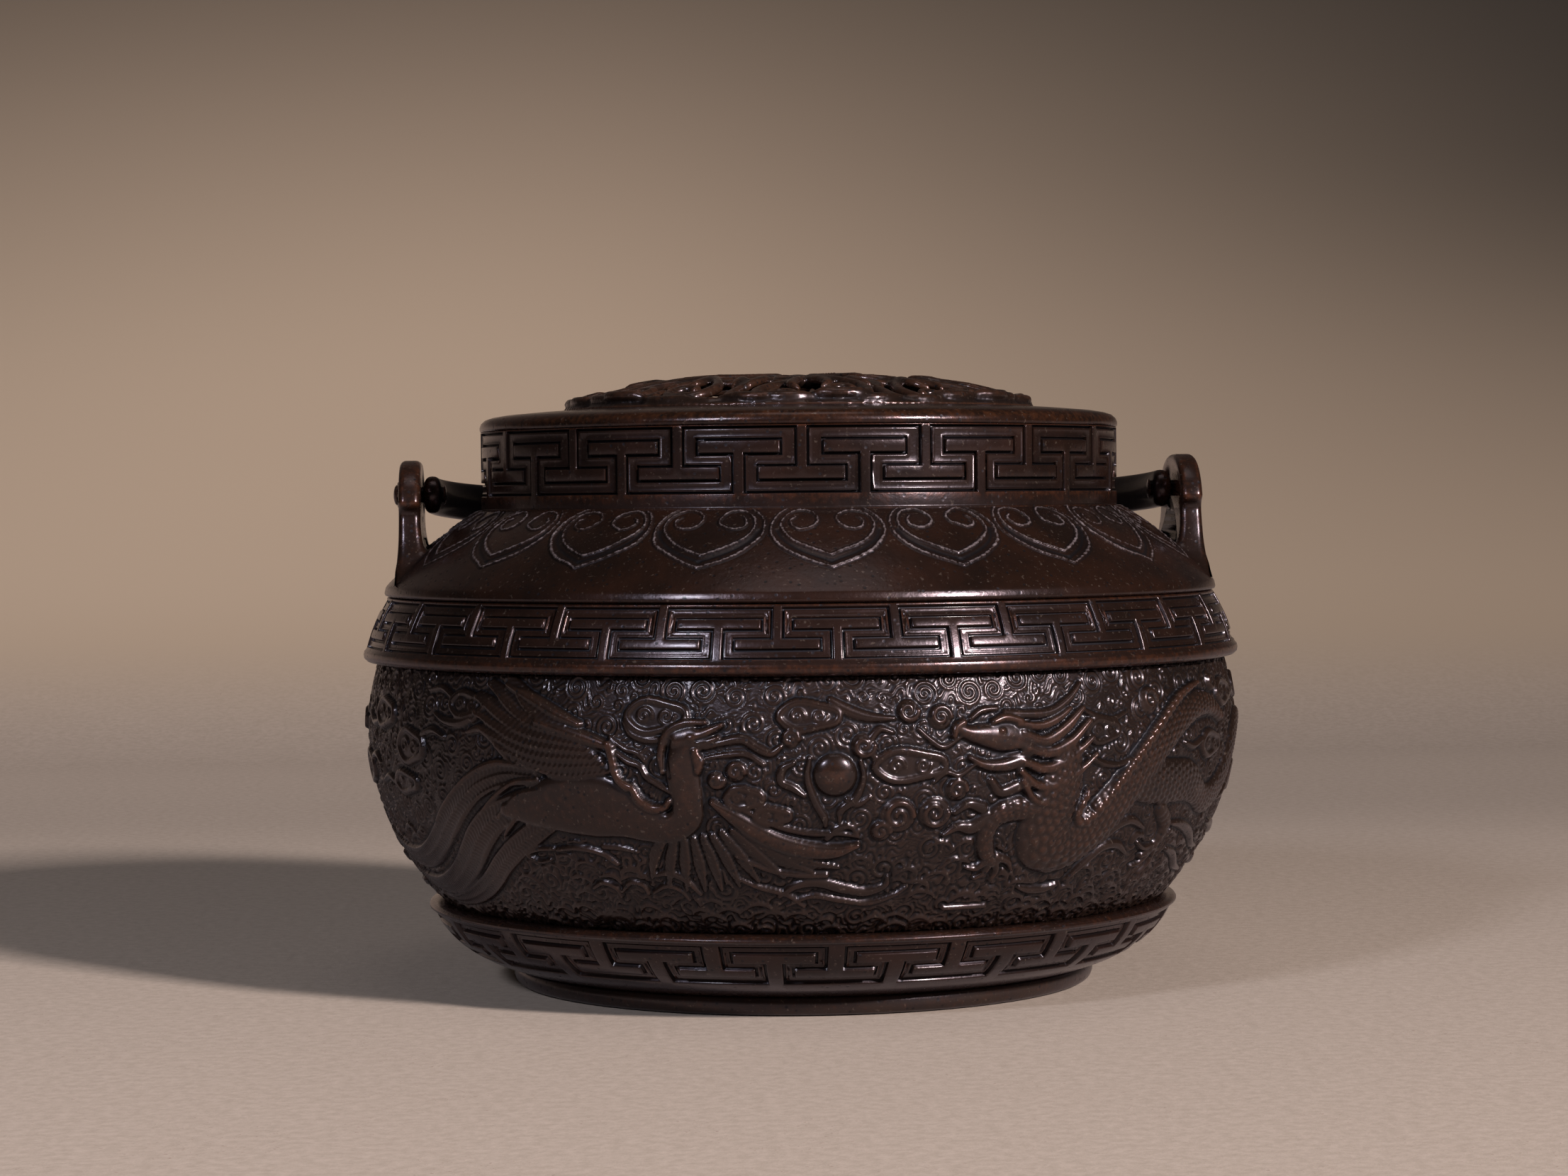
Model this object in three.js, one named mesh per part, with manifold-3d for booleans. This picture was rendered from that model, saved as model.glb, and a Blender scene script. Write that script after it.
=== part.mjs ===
// Bronze hand warmer: a round fire bowl on a foot ring, with a lift-off pierced lid and a swing bail.
// Millimetres, +Z up. The origin is the centre of the foot ring on the table, and -Y is the front.
import * as THREE from "three";
import { mergeVertices } from "three/addons/utils/BufferGeometryUtils.js";
import Module from "manifold-3d";

const wasm = await Module();
wasm.setup();

// Foot and base
const FOOT_RADIUS = 40.7;
const FOOT_WIDTH = 4.2;
const FOOT_HEIGHT = 2.6;
const FOOT_ROUNDING = 0.8;
const PLATE_THICKNESS = 1.6;
const PLATE_LEDGE = 2.5;
const BASE_HEIGHT = 9.4;
const BASE_OVERHANG = 2.1;
const BASE_BEAD = 1.0;
const BASE_FLARE = 3.4;
const BASE_STEP = 0.3;
const BASE_FILLET = 1.7;

// Belly: part of an ellipse turned about the axis
const BELLY_RADIUS = 60.7;
const BELLY_HEIGHT = 33.2;
const BELLY_CURVE = 42.9;
const BELLY_WIDEST = 24.0;
const BELLY_WALL = 2.0;

// Band above the belly
const COLLAR_HEIGHT = 9.1;
const COLLAR_OVERHANG = 1.9;
const COLLAR_BEAD = 2.0;
const COLLAR_LEAN = 3.3;

// Shoulder
const SHOULDER_HEIGHT = 11.7;
const SHOULDER_RUN = 17.0;
const SHOULDER_WALL = 2.0;
const SHOULDER_STEP = 0.3;
const SHOULDER_FILLET = 0.7;
const SHOULDER_CURL = 1.36;
const SHOULDER_BEAD = 1.3;
const SHOULDER_FULLNESS = 0.66;
const SEAT_MARGIN = 0.5;

// Mouth and lid
const MOUTH_WALL = 1.5;
const MOUTH_HEIGHT = 9.6;
const LID_CLEARANCE = 0.3;
const LID_WALL = 1.6;
const LID_HEIGHT = 10.9;
const RIM_HEIGHT = 2.9;
const RIM_WIDTH = 13.6;
const RIM_THICKNESS = 1.5;
const RIM_ROUND = 2.8;

// Pierced dome of the lid
const GRILLE_SEAT = 2.2;
const GRILLE_RISE = 2.6;
const GRILLE_THICKNESS = 1.6;
const GRILLE_EDGE = 1.0;
const GRILLE_SCROLLS = 8;
const STROKE_WIDTH = 1.5;
const SCROLL_OVERLAP = 0.3;
const SCROLL_BUD = 3.6;
const SCROLL_TURNS = 6;
const PETAL_STEPS = 8;
const BOSS_RADIUS = 3.2;

// Bail, its ears and pins
const BAIL_INSET = 6.7;
const BAIL_THICKNESS = 2.0;
const BAIL_EYE_WIDTH = 4.8;
const BAIL_CROWN_WIDTH = 6.0;
const BAIL_REST_GAP = 0.4;
const PIVOT_RISE = 2.4;
const EAR_THICKNESS = 3.0;
const EAR_FOOT_STEP = 0.6;
const EAR_HEAD_RISE = 4.8;
const EAR_HEAD_HALF = 9.2;
const EAR_FOOT_HALF = 12.6;
const EAR_FOOT_DEPTH = 10.6;
const EAR_ROUNDING = 0.6;
const EAR_LOBE = 5.4;
const EAR_NOTCH = 2.6;
const EAR_NOTCH_DEPTH = 1.0;
const EAR_SWEEP = 1.8;
const PIN_RADIUS = 1.1;
const PIN_CLEARANCE = 0.3;
const PIN_HEAD_RADIUS = 1.5;
const PIN_HEAD_HEIGHT = 0.5;
const ROSETTE_RADIUS = 1.9;
const ROSETTE_THICKNESS = 0.5;
const ROSETTE_PETALS = 8;

// Gaps between pieces, and facets round the axis
const SEAT_GAP = 0.3;
const TURN_SEGMENTS = 48;
const BELLY_STEPS = 9;
const BELLY_INNER_STEPS = 5;
const SMALL_SIDES = 16;
const BAIL_STEPS = 26;

// Heights and radii that follow from the sizes above
const plateZ = FOOT_HEIGHT;
const bellyZ = FOOT_HEIGHT + BASE_HEIGHT;
const collarZ = bellyZ + BELLY_HEIGHT;
const shoulderZ = collarZ + COLLAR_HEIGHT;
const seatZ = shoulderZ + SHOULDER_HEIGHT;
const rimZ = seatZ + LID_HEIGHT;
const grilleZ = rimZ + RIM_HEIGHT;
const bellyRadius = (height, wall) =>
  (BELLY_RADIUS - wall) * Math.sqrt(1 - ((height - BELLY_WIDEST) / (BELLY_CURVE - wall)) ** 2);
const bellyFoot = bellyRadius(0, 0);
const bellyFootInside = bellyRadius(0, BELLY_WALL);
const bellyTop = bellyRadius(BELLY_HEIGHT, 0);
const bellyTopInside = bellyRadius(BELLY_HEIGHT, BELLY_WALL);
const collarTop = bellyTop + COLLAR_OVERHANG - COLLAR_LEAN;
const shoulderRadius = collarTop + SHOULDER_STEP;
const mouthRadius = shoulderRadius - SHOULDER_RUN;
const lidInside = mouthRadius + MOUTH_WALL + LID_CLEARANCE;
const lidRadius = lidInside + LID_WALL;
const seatRadius = lidRadius + SEAT_MARGIN;
const rimInside = lidRadius - RIM_WIDTH;
const grilleRadius = rimInside + GRILLE_SEAT;
const bailRadius = shoulderRadius - BAIL_INSET;
const pivotZ = seatZ + PIVOT_RISE;
const earX = bailRadius + BAIL_THICKNESS / 2 + SEAT_GAP;

const point = (x, y) => new THREE.Vector2(x, y);

// A closed ring or disc turned about Z from outline points (radius, height), counter-clockwise.
function turned(outline) {
  const closed = outline[0].x === 0 ? outline : [...outline, outline[0]];
  return new THREE.LatheGeometry(closed, TURN_SEGMENTS).rotateX(Math.PI / 2);
}

// A three.js geometry as a solid, so that it can be joined and cut.
function solid(geometry) {
  const bare = new THREE.BufferGeometry();
  bare.setAttribute("position", geometry.getAttribute("position"));
  bare.setIndex(geometry.index);
  const merged = mergeVertices(bare, 1e-4);
  const index = merged.index.array;
  const triVerts = [];
  for (let i = 0; i < index.length; i += 3) {
    const [a, b, c] = [index[i], index[i + 1], index[i + 2]];
    if (a !== b && b !== c && c !== a) triVerts.push(a, b, c);
  }
  return new wasm.Manifold(
    new wasm.Mesh({
      numProp: 3,
      vertProperties: merged.getAttribute("position").array,
      triVerts: new Uint32Array(triVerts),
    }),
  );
}

// A solid back as a three.js geometry.
function shown(body) {
  const mesh = body.getMesh();
  const geometry = new THREE.BufferGeometry();
  geometry.setAttribute("position", new THREE.BufferAttribute(new Float32Array(mesh.vertProperties), 3));
  geometry.setIndex(new THREE.BufferAttribute(new Uint32Array(mesh.triVerts), 1));
  geometry.computeVertexNormals();
  return geometry;
}

// A round bar along X from x0 to x1.
function barAlongX(radius, x0, x1, sides) {
  return new THREE.CylinderGeometry(radius, radius, x1 - x0, sides)
    .rotateZ(Math.PI / 2)
    .translate((x0 + x1) / 2, 0, 0);
}

// Patinated cast bronze, a little redder and smoother where hands polish it.
function bronze(color, roughness) {
  return new THREE.MeshStandardMaterial({ color, roughness, metalness: 0.85 });
}
const bodyBronze = bronze(0x3a2820, 0.42);
const bandBronze = bronze(0x4a3024, 0.38);
const lidBronze = bronze(0x442c22, 0.4);
const bailBronze = bronze(0x543324, 0.34);

const handWarmer = new THREE.Group();
function addPiece(name, geometry, material, parent = handWarmer) {
  const piece = new THREE.Mesh(geometry, material);
  piece.name = name;
  parent.add(piece);
  return piece;
}

// Foot ring: a plain turned ring with a rounded edge on the table side.
function footRing() {
  const inner = FOOT_RADIUS - FOOT_WIDTH;
  const round = FOOT_ROUNDING;
  return turned([
    point(inner, FOOT_HEIGHT),
    point(inner, round),
    point(inner + round, 0),
    point(FOOT_RADIUS - round, 0),
    point(FOOT_RADIUS - round * 0.3, round * 0.3),
    point(FOOT_RADIUS, round),
    point(FOOT_RADIUS, FOOT_HEIGHT),
  ]);
}
addPiece("foot_ring", footRing(), bandBronze);

// Base plate: the bottom of the bowl, let in over the foot ring's inner ledge.
const plateRadius = FOOT_RADIUS - FOOT_WIDTH + PLATE_LEDGE;
function basePlate() {
  return turned([
    point(0, plateZ),
    point(plateRadius, plateZ),
    point(plateRadius, plateZ + PLATE_THICKNESS),
    point(0, plateZ + PLATE_THICKNESS),
  ]);
}
addPiece("base_plate", basePlate(), bodyBronze);

// Base band: flares from the foot ring to a bead under the belly.
function baseBand() {
  const inner = plateRadius + SEAT_GAP;
  const edge = bellyFoot + BASE_OVERHANG;
  const low = plateZ + PLATE_THICKNESS + SEAT_GAP;
  const outside = new THREE.QuadraticBezierCurve(
    point(FOOT_RADIUS + BASE_STEP, FOOT_HEIGHT),
    point(edge - BASE_FLARE, FOOT_HEIGHT + BASE_HEIGHT * 0.21),
    point(edge - BASE_BEAD * 0.4, bellyZ - BASE_BEAD),
  ).getPoints(6);
  const inside = new THREE.QuadraticBezierCurve(
    point(bellyFootInside, bellyZ),
    point(bellyFootInside - BASE_FILLET, low + BASE_FILLET),
    point(inner, low),
  ).getPoints(3);
  return turned([
    point(inner, FOOT_HEIGHT),
    ...outside,
    point(edge, bellyZ - BASE_BEAD * 0.75),
    point(edge, bellyZ - BASE_BEAD * 0.25),
    point(edge - BASE_STEP, bellyZ),
    ...inside,
  ]);
}
addPiece("base_band", baseBand(), bandBronze);

// Belly shell: the bulging wall that carries the cast relief.
function bellyShell() {
  const outside = [];
  const inside = [];
  for (let i = 0; i <= BELLY_STEPS; i++) {
    const height = (BELLY_HEIGHT * i) / BELLY_STEPS;
    outside.push(point(bellyRadius(height, 0), bellyZ + height));
  }
  for (let i = BELLY_INNER_STEPS; i >= 0; i--) {
    const height = (BELLY_HEIGHT * i) / BELLY_INNER_STEPS;
    inside.push(point(bellyRadius(height, BELLY_WALL), bellyZ + height));
  }
  return turned([...outside, ...inside]);
}
addPiece("belly_shell", bellyShell(), bodyBronze);

// Collar band: leans inwards over the belly, on a round bead that overhangs it.
function collarBand() {
  const low = bellyTop + COLLAR_OVERHANG;
  const inTop = collarTop - SHOULDER_WALL;
  return turned([
    point(bellyTopInside, collarZ),
    point(low - COLLAR_BEAD * 0.45, collarZ),
    point(low - COLLAR_BEAD * 0.1, collarZ + COLLAR_BEAD * 0.2),
    point(low, collarZ + COLLAR_BEAD * 0.5),
    point(low - COLLAR_BEAD * 0.1, collarZ + COLLAR_BEAD * 0.8),
    point(low - COLLAR_BEAD * 0.28, collarZ + COLLAR_BEAD * 1.05),
    point(low - COLLAR_LEAN * 0.33, collarZ + COLLAR_HEIGHT * 0.46),
    point(low - COLLAR_LEAN * 0.7, collarZ + COLLAR_HEIGHT * 0.81),
    point(low - COLLAR_LEAN * 0.94, collarZ + COLLAR_HEIGHT * 0.96),
    point(collarTop, shoulderZ),
    point(inTop, shoulderZ),
  ]);
}
addPiece("collar_band", collarBand(), bandBronze);

// Shoulder shell: a convex slope from the collar band up to the lid's flat seat.
const slopeFoot = point(shoulderRadius - SHOULDER_FILLET, shoulderZ + SHOULDER_BEAD + SHOULDER_FILLET * 0.86);
const slopeHead = point(seatRadius, seatZ);
function slopeCurve(offset) {
  const foot = point(slopeFoot.x - offset * 0.72, slopeFoot.y - offset * 0.7);
  const head = point(slopeHead.x - offset * 0.4, slopeHead.y - offset);
  const control = point(
    head.x + (foot.x - head.x) * (1 - SHOULDER_FULLNESS) * SHOULDER_CURL,
    foot.y + (head.y - foot.y) * SHOULDER_FULLNESS,
  );
  return new THREE.QuadraticBezierCurve(foot, control, head);
}
function shoulderShell() {
  const low = shoulderRadius;
  return turned([
    point(low - SHOULDER_WALL - SHOULDER_STEP / 3, shoulderZ),
    point(low - SHOULDER_BEAD * 0.3, shoulderZ),
    point(low, shoulderZ + SHOULDER_BEAD * 0.3),
    point(low, shoulderZ + SHOULDER_BEAD * 0.8),
    point(low - SHOULDER_BEAD * 0.3, shoulderZ + SHOULDER_BEAD * 1.1),
    ...slopeCurve(0).getPoints(5),
    point(mouthRadius, seatZ),
    point(mouthRadius, seatZ - SHOULDER_WALL),
    ...slopeCurve(SHOULDER_WALL).getPoints(3).reverse(),
  ]);
}
addPiece("shoulder_shell", shoulderShell(), bodyBronze);

// Height of the slope at a radius, by halving.
function slopeHeight(radius) {
  const curve = slopeCurve(0);
  let [low, high] = [0, 1];
  for (let i = 0; i < 30; i++) {
    const middle = (low + high) / 2;
    if (curve.getPoint(middle).x > radius) low = middle;
    else high = middle;
  }
  return curve.getPoint(low).y;
}

// Mouth collar: the upright ring that the lid slides over.
function mouthCollar() {
  const outer = mouthRadius + MOUTH_WALL;
  const top = seatZ + MOUTH_HEIGHT;
  const chamfer = MOUTH_WALL * 0.25;
  return turned([
    point(mouthRadius, seatZ),
    point(outer, seatZ),
    point(outer, top - chamfer),
    point(outer - chamfer, top),
    point(mouthRadius, top),
  ]);
}
addPiece("mouth_collar", mouthCollar(), bodyBronze);

// Lid: an upright wall, a rounded rim with a sloping border, and the pierced dome let in at the middle.
function lidWall() {
  const chamfer = LID_WALL * 0.15;
  return turned([
    point(lidInside, seatZ),
    point(lidRadius - chamfer, seatZ),
    point(lidRadius, seatZ + chamfer),
    point(lidRadius, rimZ),
    point(lidInside, rimZ),
  ]);
}
function lidRim() {
  const under = grilleZ - RIM_THICKNESS;
  return turned([
    point(lidInside, rimZ),
    point(lidRadius, rimZ),
    point(lidRadius - RIM_ROUND * 0.04, rimZ + RIM_HEIGHT * 0.28),
    point(lidRadius - RIM_ROUND * 0.16, rimZ + RIM_HEIGHT * 0.52),
    point(lidRadius - RIM_ROUND * 0.46, rimZ + RIM_HEIGHT * 0.7),
    point(lidRadius - RIM_ROUND, rimZ + RIM_HEIGHT * 0.8),
    point(grilleRadius + GRILLE_SEAT * 0.36, grilleZ),
    point(rimInside, grilleZ),
    point(rimInside, under),
    point(lidInside - LID_WALL, under - RIM_THICKNESS * 0.27),
    point(lidInside - LID_CLEARANCE, under - RIM_THICKNESS * 0.53),
  ]);
}
addPiece("lid_wall", lidWall(), lidBronze);
addPiece("lid_rim", lidRim(), lidBronze);

// A flat bar along a centre line that tapers to its end, and a flat ring, as outlines for the piercing.
function strokeShape(line, width, endWidth) {
  const left = [];
  const right = [];
  line.forEach((p, i) => {
    const before = line[Math.max(i - 1, 0)];
    const after = line[Math.min(i + 1, line.length - 1)];
    const across = after.clone().sub(before).normalize().rotateAround(point(0, 0), Math.PI / 2);
    const half = THREE.MathUtils.lerp(width, endWidth, i / (line.length - 1)) / 2;
    left.push(p.clone().addScaledVector(across, half));
    right.push(p.clone().addScaledVector(across, -half));
  });
  return new THREE.Shape([...left, ...right.reverse()]);
}
function loopPoints(radiusAt, count) {
  const points = [];
  for (let i = 0; i < count; i++) {
    const angle = (2 * Math.PI * i) / count;
    points.push(point(radiusAt(angle) * Math.cos(angle), radiusAt(angle) * Math.sin(angle)));
  }
  return points;
}
function ringShape(outerAt, innerAt, count) {
  const shape = new THREE.Shape(loopPoints(outerAt, count));
  shape.holes.push(new THREE.Path(loopPoints(innerAt, count)));
  return shape;
}

// One scroll of a cloud: it rises from the lobed ring, passes under the outer ring and curls in to its eye.
const openRadius = grilleRadius - GRILLE_SEAT;
const lobedRing = grilleRadius * 0.51;
const lobeDepth = grilleRadius * 0.04;
const lobe = (angle) => lobedRing + lobeDepth * Math.abs(Math.cos((GRILLE_SCROLLS / 2) * angle)) ** 0.8;
function scrollLine(side) {
  const size = (openRadius - lobedRing) * 0.25;
  const centre = point(openRadius - size + SCROLL_OVERLAP, side * size * 1.28);
  const line = [
    point(lobedRing + lobeDepth * 0.7, side * SCROLL_OVERLAP),
    point(lobedRing + size * 0.9, side * size * 0.9),
  ];
  for (let i = 0; i <= SCROLL_TURNS; i++) {
    const angle = THREE.MathUtils.degToRad(125 - (336 * i) / SCROLL_TURNS);
    const radius = size * (1 - (0.62 * i) / SCROLL_TURNS);
    line.push(point(centre.x + radius * Math.cos(angle), centre.y + side * radius * Math.sin(angle)));
  }
  return line;
}

// One petal of the middle flower, as a closed loop from the boss out to the lobed ring.
function teardrop(start, end, half) {
  const line = [];
  for (let i = 0; i < PETAL_STEPS; i++) {
    const turn = (i / PETAL_STEPS) * 2 * Math.PI;
    const along = (1 - Math.cos(turn)) / 2;
    line.push(point(start + along * (end - start), -Math.sin(turn) * half * (0.45 + along)));
  }
  return line;
}
function petalShape(half, width) {
  const start = BOSS_RADIUS - width / 2;
  const end = lobedRing + lobeDepth;
  const shape = new THREE.Shape(teardrop(start, end, half));
  shape.holes.push(new THREE.Path(teardrop(start + 2 * width, end - width, half - width)));
  return shape;
}

// A bar with round ends that runs out from the axis between two radii.
function barShape(start, end, half) {
  const shape = new THREE.Shape();
  shape.absarc(start + half, 0, half, Math.PI / 2, (3 * Math.PI) / 2, false);
  shape.absarc(end - half, 0, half, -Math.PI / 2, Math.PI / 2, false);
  return shape;
}

// Pierced dome: sawn as a flat plate of scrolls and petals, then raised to its curve.
function lidGrille() {
  const sector = (2 * Math.PI) / GRILLE_SCROLLS;
  const sawn = { depth: 1, bevelEnabled: false, curveSegments: 3 };
  const flat = (shape) => solid(new THREE.ExtrudeGeometry(shape, sawn));
  const turnedBy = (body, angle) => body.rotate([0, 0, (angle * 180) / Math.PI]);
  let plate = flat(
    ringShape(
      () => grilleRadius,
      () => openRadius,
      TURN_SEGMENTS,
    ),
  );
  plate = plate.add(
    flat(
      ringShape(
        (angle) => lobe(angle) + STROKE_WIDTH / 2,
        (angle) => lobe(angle) - STROKE_WIDTH / 2,
        TURN_SEGMENTS,
      ),
    ),
  );
  plate = plate.add(flat(new THREE.Shape(loopPoints(() => BOSS_RADIUS, SMALL_SIDES))));
  const petalHalf = lobedRing * Math.sin(sector / 2) * 0.52;
  const half = STROKE_WIDTH / 2;
  const cloud = [
    flat(strokeShape(scrollLine(1), STROKE_WIDTH, STROKE_WIDTH * 0.7)),
    flat(strokeShape(scrollLine(-1), STROKE_WIDTH, STROKE_WIDTH * 0.7)),
    flat(petalShape(petalHalf, STROKE_WIDTH * 0.8)),
    flat(barShape(BOSS_RADIUS - half, lobedRing * 0.66, half)),
    flat(barShape(openRadius - SCROLL_BUD, openRadius + half, half)),
  ];
  const stem = flat(barShape(lobedRing - half, openRadius + half, half));
  for (let i = 0; i < GRILLE_SCROLLS; i++) {
    for (const part of cloud) plate = plate.add(turnedBy(part, i * sector));
    plate = plate.add(turnedBy(stem, (i + 0.5) * sector));
  }
  const geometry = shown(plate);
  const position = geometry.getAttribute("position");
  for (let i = 0; i < position.count; i++) {
    const share = Math.min(Math.hypot(position.getX(i), position.getY(i)) / openRadius, 1);
    const rise = GRILLE_RISE * (1 - share ** 2);
    const thick = GRILLE_EDGE + (GRILLE_THICKNESS - GRILLE_EDGE) * (1 - share ** 4);
    position.setZ(i, grilleZ + rise + position.getZ(i) * thick);
  }
  geometry.computeVertexNormals();
  return geometry;
}
addPiece("lid_grille", lidGrille(), lidBronze);

// Ears: flat plates that stand on the shoulder, with a round head over a waist and a spreading foot.
function earOutline() {
  const top = EAR_HEAD_RISE;
  const head = EAR_HEAD_HALF;
  const tip = head + EAR_NOTCH_DEPTH * 0.6;
  const waist = tip - EAR_NOTCH_DEPTH;
  const notch = EAR_NOTCH * 0.3;
  const shape = new THREE.Shape();
  shape.moveTo(-EAR_FOOT_HALF, -EAR_FOOT_DEPTH);
  shape.quadraticCurveTo(-EAR_FOOT_HALF + EAR_SWEEP, -top, -waist, -EAR_NOTCH);
  shape.lineTo(-tip, -notch);
  shape.quadraticCurveTo(-head, top * 0.35, -head + EAR_LOBE * 0.35, top * 0.66);
  shape.quadraticCurveTo(-head + EAR_LOBE * 0.6, top, -head + EAR_LOBE, top);
  shape.lineTo(head - EAR_LOBE, top);
  shape.quadraticCurveTo(head - EAR_LOBE * 0.6, top, head - EAR_LOBE * 0.35, top * 0.66);
  shape.quadraticCurveTo(head, top * 0.35, tip, -notch);
  shape.lineTo(waist, -EAR_NOTCH);
  shape.quadraticCurveTo(EAR_FOOT_HALF - EAR_SWEEP, -top, EAR_FOOT_HALF, -EAR_FOOT_DEPTH);
  return shape;
}
function earFootOutline() {
  const half = EAR_FOOT_HALF - EAR_FOOT_STEP;
  const shoulder = EAR_HEAD_HALF - EAR_FOOT_STEP * 2;
  const drop = EAR_NOTCH * 1.3;
  const shape = new THREE.Shape();
  shape.moveTo(-half, -EAR_FOOT_DEPTH);
  shape.quadraticCurveTo(-half + EAR_SWEEP, -EAR_HEAD_RISE, -shoulder, -drop);
  shape.quadraticCurveTo(0, -EAR_FOOT_DEPTH * 0.53, shoulder, -drop);
  shape.quadraticCurveTo(half - EAR_SWEEP, -EAR_HEAD_RISE, half, -EAR_FOOT_DEPTH);
  return shape;
}
// A plate cut to an outline drawn in (Y, Z), standing across X with its back at x = 0.
function plateAcrossX(outline, thickness, rounding) {
  const geometry = new THREE.ExtrudeGeometry(outline, {
    depth: thickness - 2 * rounding,
    bevelThickness: rounding,
    bevelSize: rounding,
    bevelOffset: -rounding,
    bevelSegments: 2,
    curveSegments: 4,
  });
  return geometry
    .translate(0, 0, rounding)
    .rotateX(Math.PI / 2)
    .rotateZ(Math.PI / 2);
}
function ear() {
  const seatCut = turned([
    point(0, shoulderZ),
    point(slopeFoot.x + SEAT_GAP, shoulderZ),
    ...slopeCurve(0)
      .getPoints(8)
      .map((p) => point(p.x + SEAT_GAP, p.y + SEAT_GAP)),
    point(0, seatZ + SEAT_GAP),
  ]);
  const hole = barAlongX(PIN_RADIUS + PIN_CLEARANCE, -EAR_THICKNESS, EAR_THICKNESS * 3, SMALL_SIDES);
  const plate = solid(plateAcrossX(earOutline(), EAR_THICKNESS, EAR_ROUNDING));
  const foot = solid(plateAcrossX(earFootOutline(), EAR_THICKNESS + EAR_FOOT_STEP, EAR_ROUNDING));
  const seat = solid(seatCut).translate([-earX, 0, -pivotZ]);
  return shown(plate.add(foot).subtract(solid(hole)).subtract(seat)).translate(earX, 0, pivotZ);
}
const earRight = ear();
addPiece("ear_right", earRight, bodyBronze);
addPiece("ear_left", earRight.clone().rotateZ(Math.PI), bodyBronze);

// Pivot rosette: a small flower washer between the ear and the pin's head.
function rosette() {
  const dent = ROSETTE_RADIUS * 0.18;
  const petal = (angle) => ROSETTE_RADIUS - dent * Math.abs(Math.sin((ROSETTE_PETALS / 2) * angle));
  const shape = ringShape(petal, () => PIN_RADIUS + PIN_CLEARANCE / 3, ROSETTE_PETALS * 4);
  return new THREE.ExtrudeGeometry(shape, { depth: ROSETTE_THICKNESS, bevelEnabled: false })
    .rotateY(Math.PI / 2)
    .translate(earX + EAR_THICKNESS, 0, pivotZ);
}
const rosetteRight = rosette();
addPiece("pivot_rosette_right", rosetteRight, bailBronze);
addPiece("pivot_rosette_left", rosetteRight.clone().rotateZ(Math.PI), bailBronze);

// Pivot pin: domed head outside, shaft through the ear and the bail's eye, and an end peened over inside.
function pivotPin() {
  const headX = earX + EAR_THICKNESS + ROSETTE_THICKNESS;
  const peenX = bailRadius - BAIL_THICKNESS / 2 - SEAT_GAP;
  const outline = [
    point(0, peenX - PIN_HEAD_HEIGHT),
    point(PIN_HEAD_RADIUS * 0.6, peenX - PIN_HEAD_HEIGHT),
    point(PIN_HEAD_RADIUS, peenX - PIN_HEAD_HEIGHT * 0.4),
    point(PIN_HEAD_RADIUS, peenX),
    point(PIN_RADIUS, peenX),
    point(PIN_RADIUS, headX),
    point(PIN_HEAD_RADIUS, headX),
    point(PIN_HEAD_RADIUS * 0.85, headX + PIN_HEAD_HEIGHT * 0.55),
    point(PIN_HEAD_RADIUS * 0.45, headX + PIN_HEAD_HEIGHT * 0.9),
    point(0, headX + PIN_HEAD_HEIGHT),
  ];
  return new THREE.LatheGeometry(outline, SMALL_SIDES).rotateZ(-Math.PI / 2).translate(0, 0, pivotZ);
}
const pinRight = pivotPin();
addPiece("pivot_pin_right", pinRight, bailBronze);
addPiece("pivot_pin_left", pinRight.clone().rotateZ(Math.PI), bailBronze);

// A closed solid through rings of equal point count, with its two ends filled.
function lofted(rings) {
  const count = rings[0].length;
  const position = rings.flat().flatMap((p) => [p.x, p.y, p.z]);
  const index = [];
  for (let r = 0; r + 1 < rings.length; r++) {
    for (let i = 0; i < count; i++) {
      const [a, b] = [r * count + i, r * count + ((i + 1) % count)];
      index.push(a, b + count, b, a, a + count, b + count);
    }
  }
  const last = (rings.length - 1) * count;
  for (let i = 1; i + 1 < count; i++) {
    index.push(0, i, i + 1, last, last + i + 1, last + i);
  }
  const geometry = new THREE.BufferGeometry();
  geometry.setAttribute("position", new THREE.BufferAttribute(new Float32Array(position), 3));
  geometry.setIndex(index);
  return geometry;
}

// Bail: a strap bent to a half circle, wider at its crown, with a round eye at each end.
function bailStation(along, width) {
  const half = width / 2;
  const thick = BAIL_THICKNESS / 2;
  const edge = Math.min(BAIL_THICKNESS / 4, half * 0.4);
  const section = [
    [-thick, -half + edge],
    [-thick + edge, -half],
    [thick - edge, -half],
    [thick, -half + edge],
    [thick, half - edge],
    [thick - edge, half],
    [-thick + edge, half],
    [-thick, half - edge],
  ];
  return section.map(([out, up]) => {
    const radius = bailRadius + out;
    if (along < 0) return new THREE.Vector3(radius, along, up);
    if (along > Math.PI) return new THREE.Vector3(-radius, Math.PI - along, up);
    return new THREE.Vector3(radius * Math.cos(along), radius * Math.sin(along), up);
  });
}
function bail() {
  const eye = BAIL_EYE_WIDTH / 2;
  const ends = [0.995, 0.93, 0.78, 0.55, 0.28];
  const rings = ends.map((share) => bailStation(-share * eye, 2 * eye * Math.sqrt(1 - share ** 2)));
  for (let i = 0; i <= BAIL_STEPS; i++) {
    const angle = (Math.PI * i) / BAIL_STEPS;
    const width = BAIL_EYE_WIDTH + (BAIL_CROWN_WIDTH - BAIL_EYE_WIDTH) * Math.sin(angle) ** 2;
    rings.push(bailStation(angle, width));
  }
  for (const share of ends.toReversed()) {
    rings.push(bailStation(Math.PI + share * eye, 2 * eye * Math.sqrt(1 - share ** 2)));
  }
  const reach = bailRadius + BAIL_THICKNESS * 2;
  const holes = solid(barAlongX(PIN_RADIUS + PIN_CLEARANCE, -reach, reach, SMALL_SIDES));
  return shown(solid(lofted(rings)).subtract(holes));
}

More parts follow.
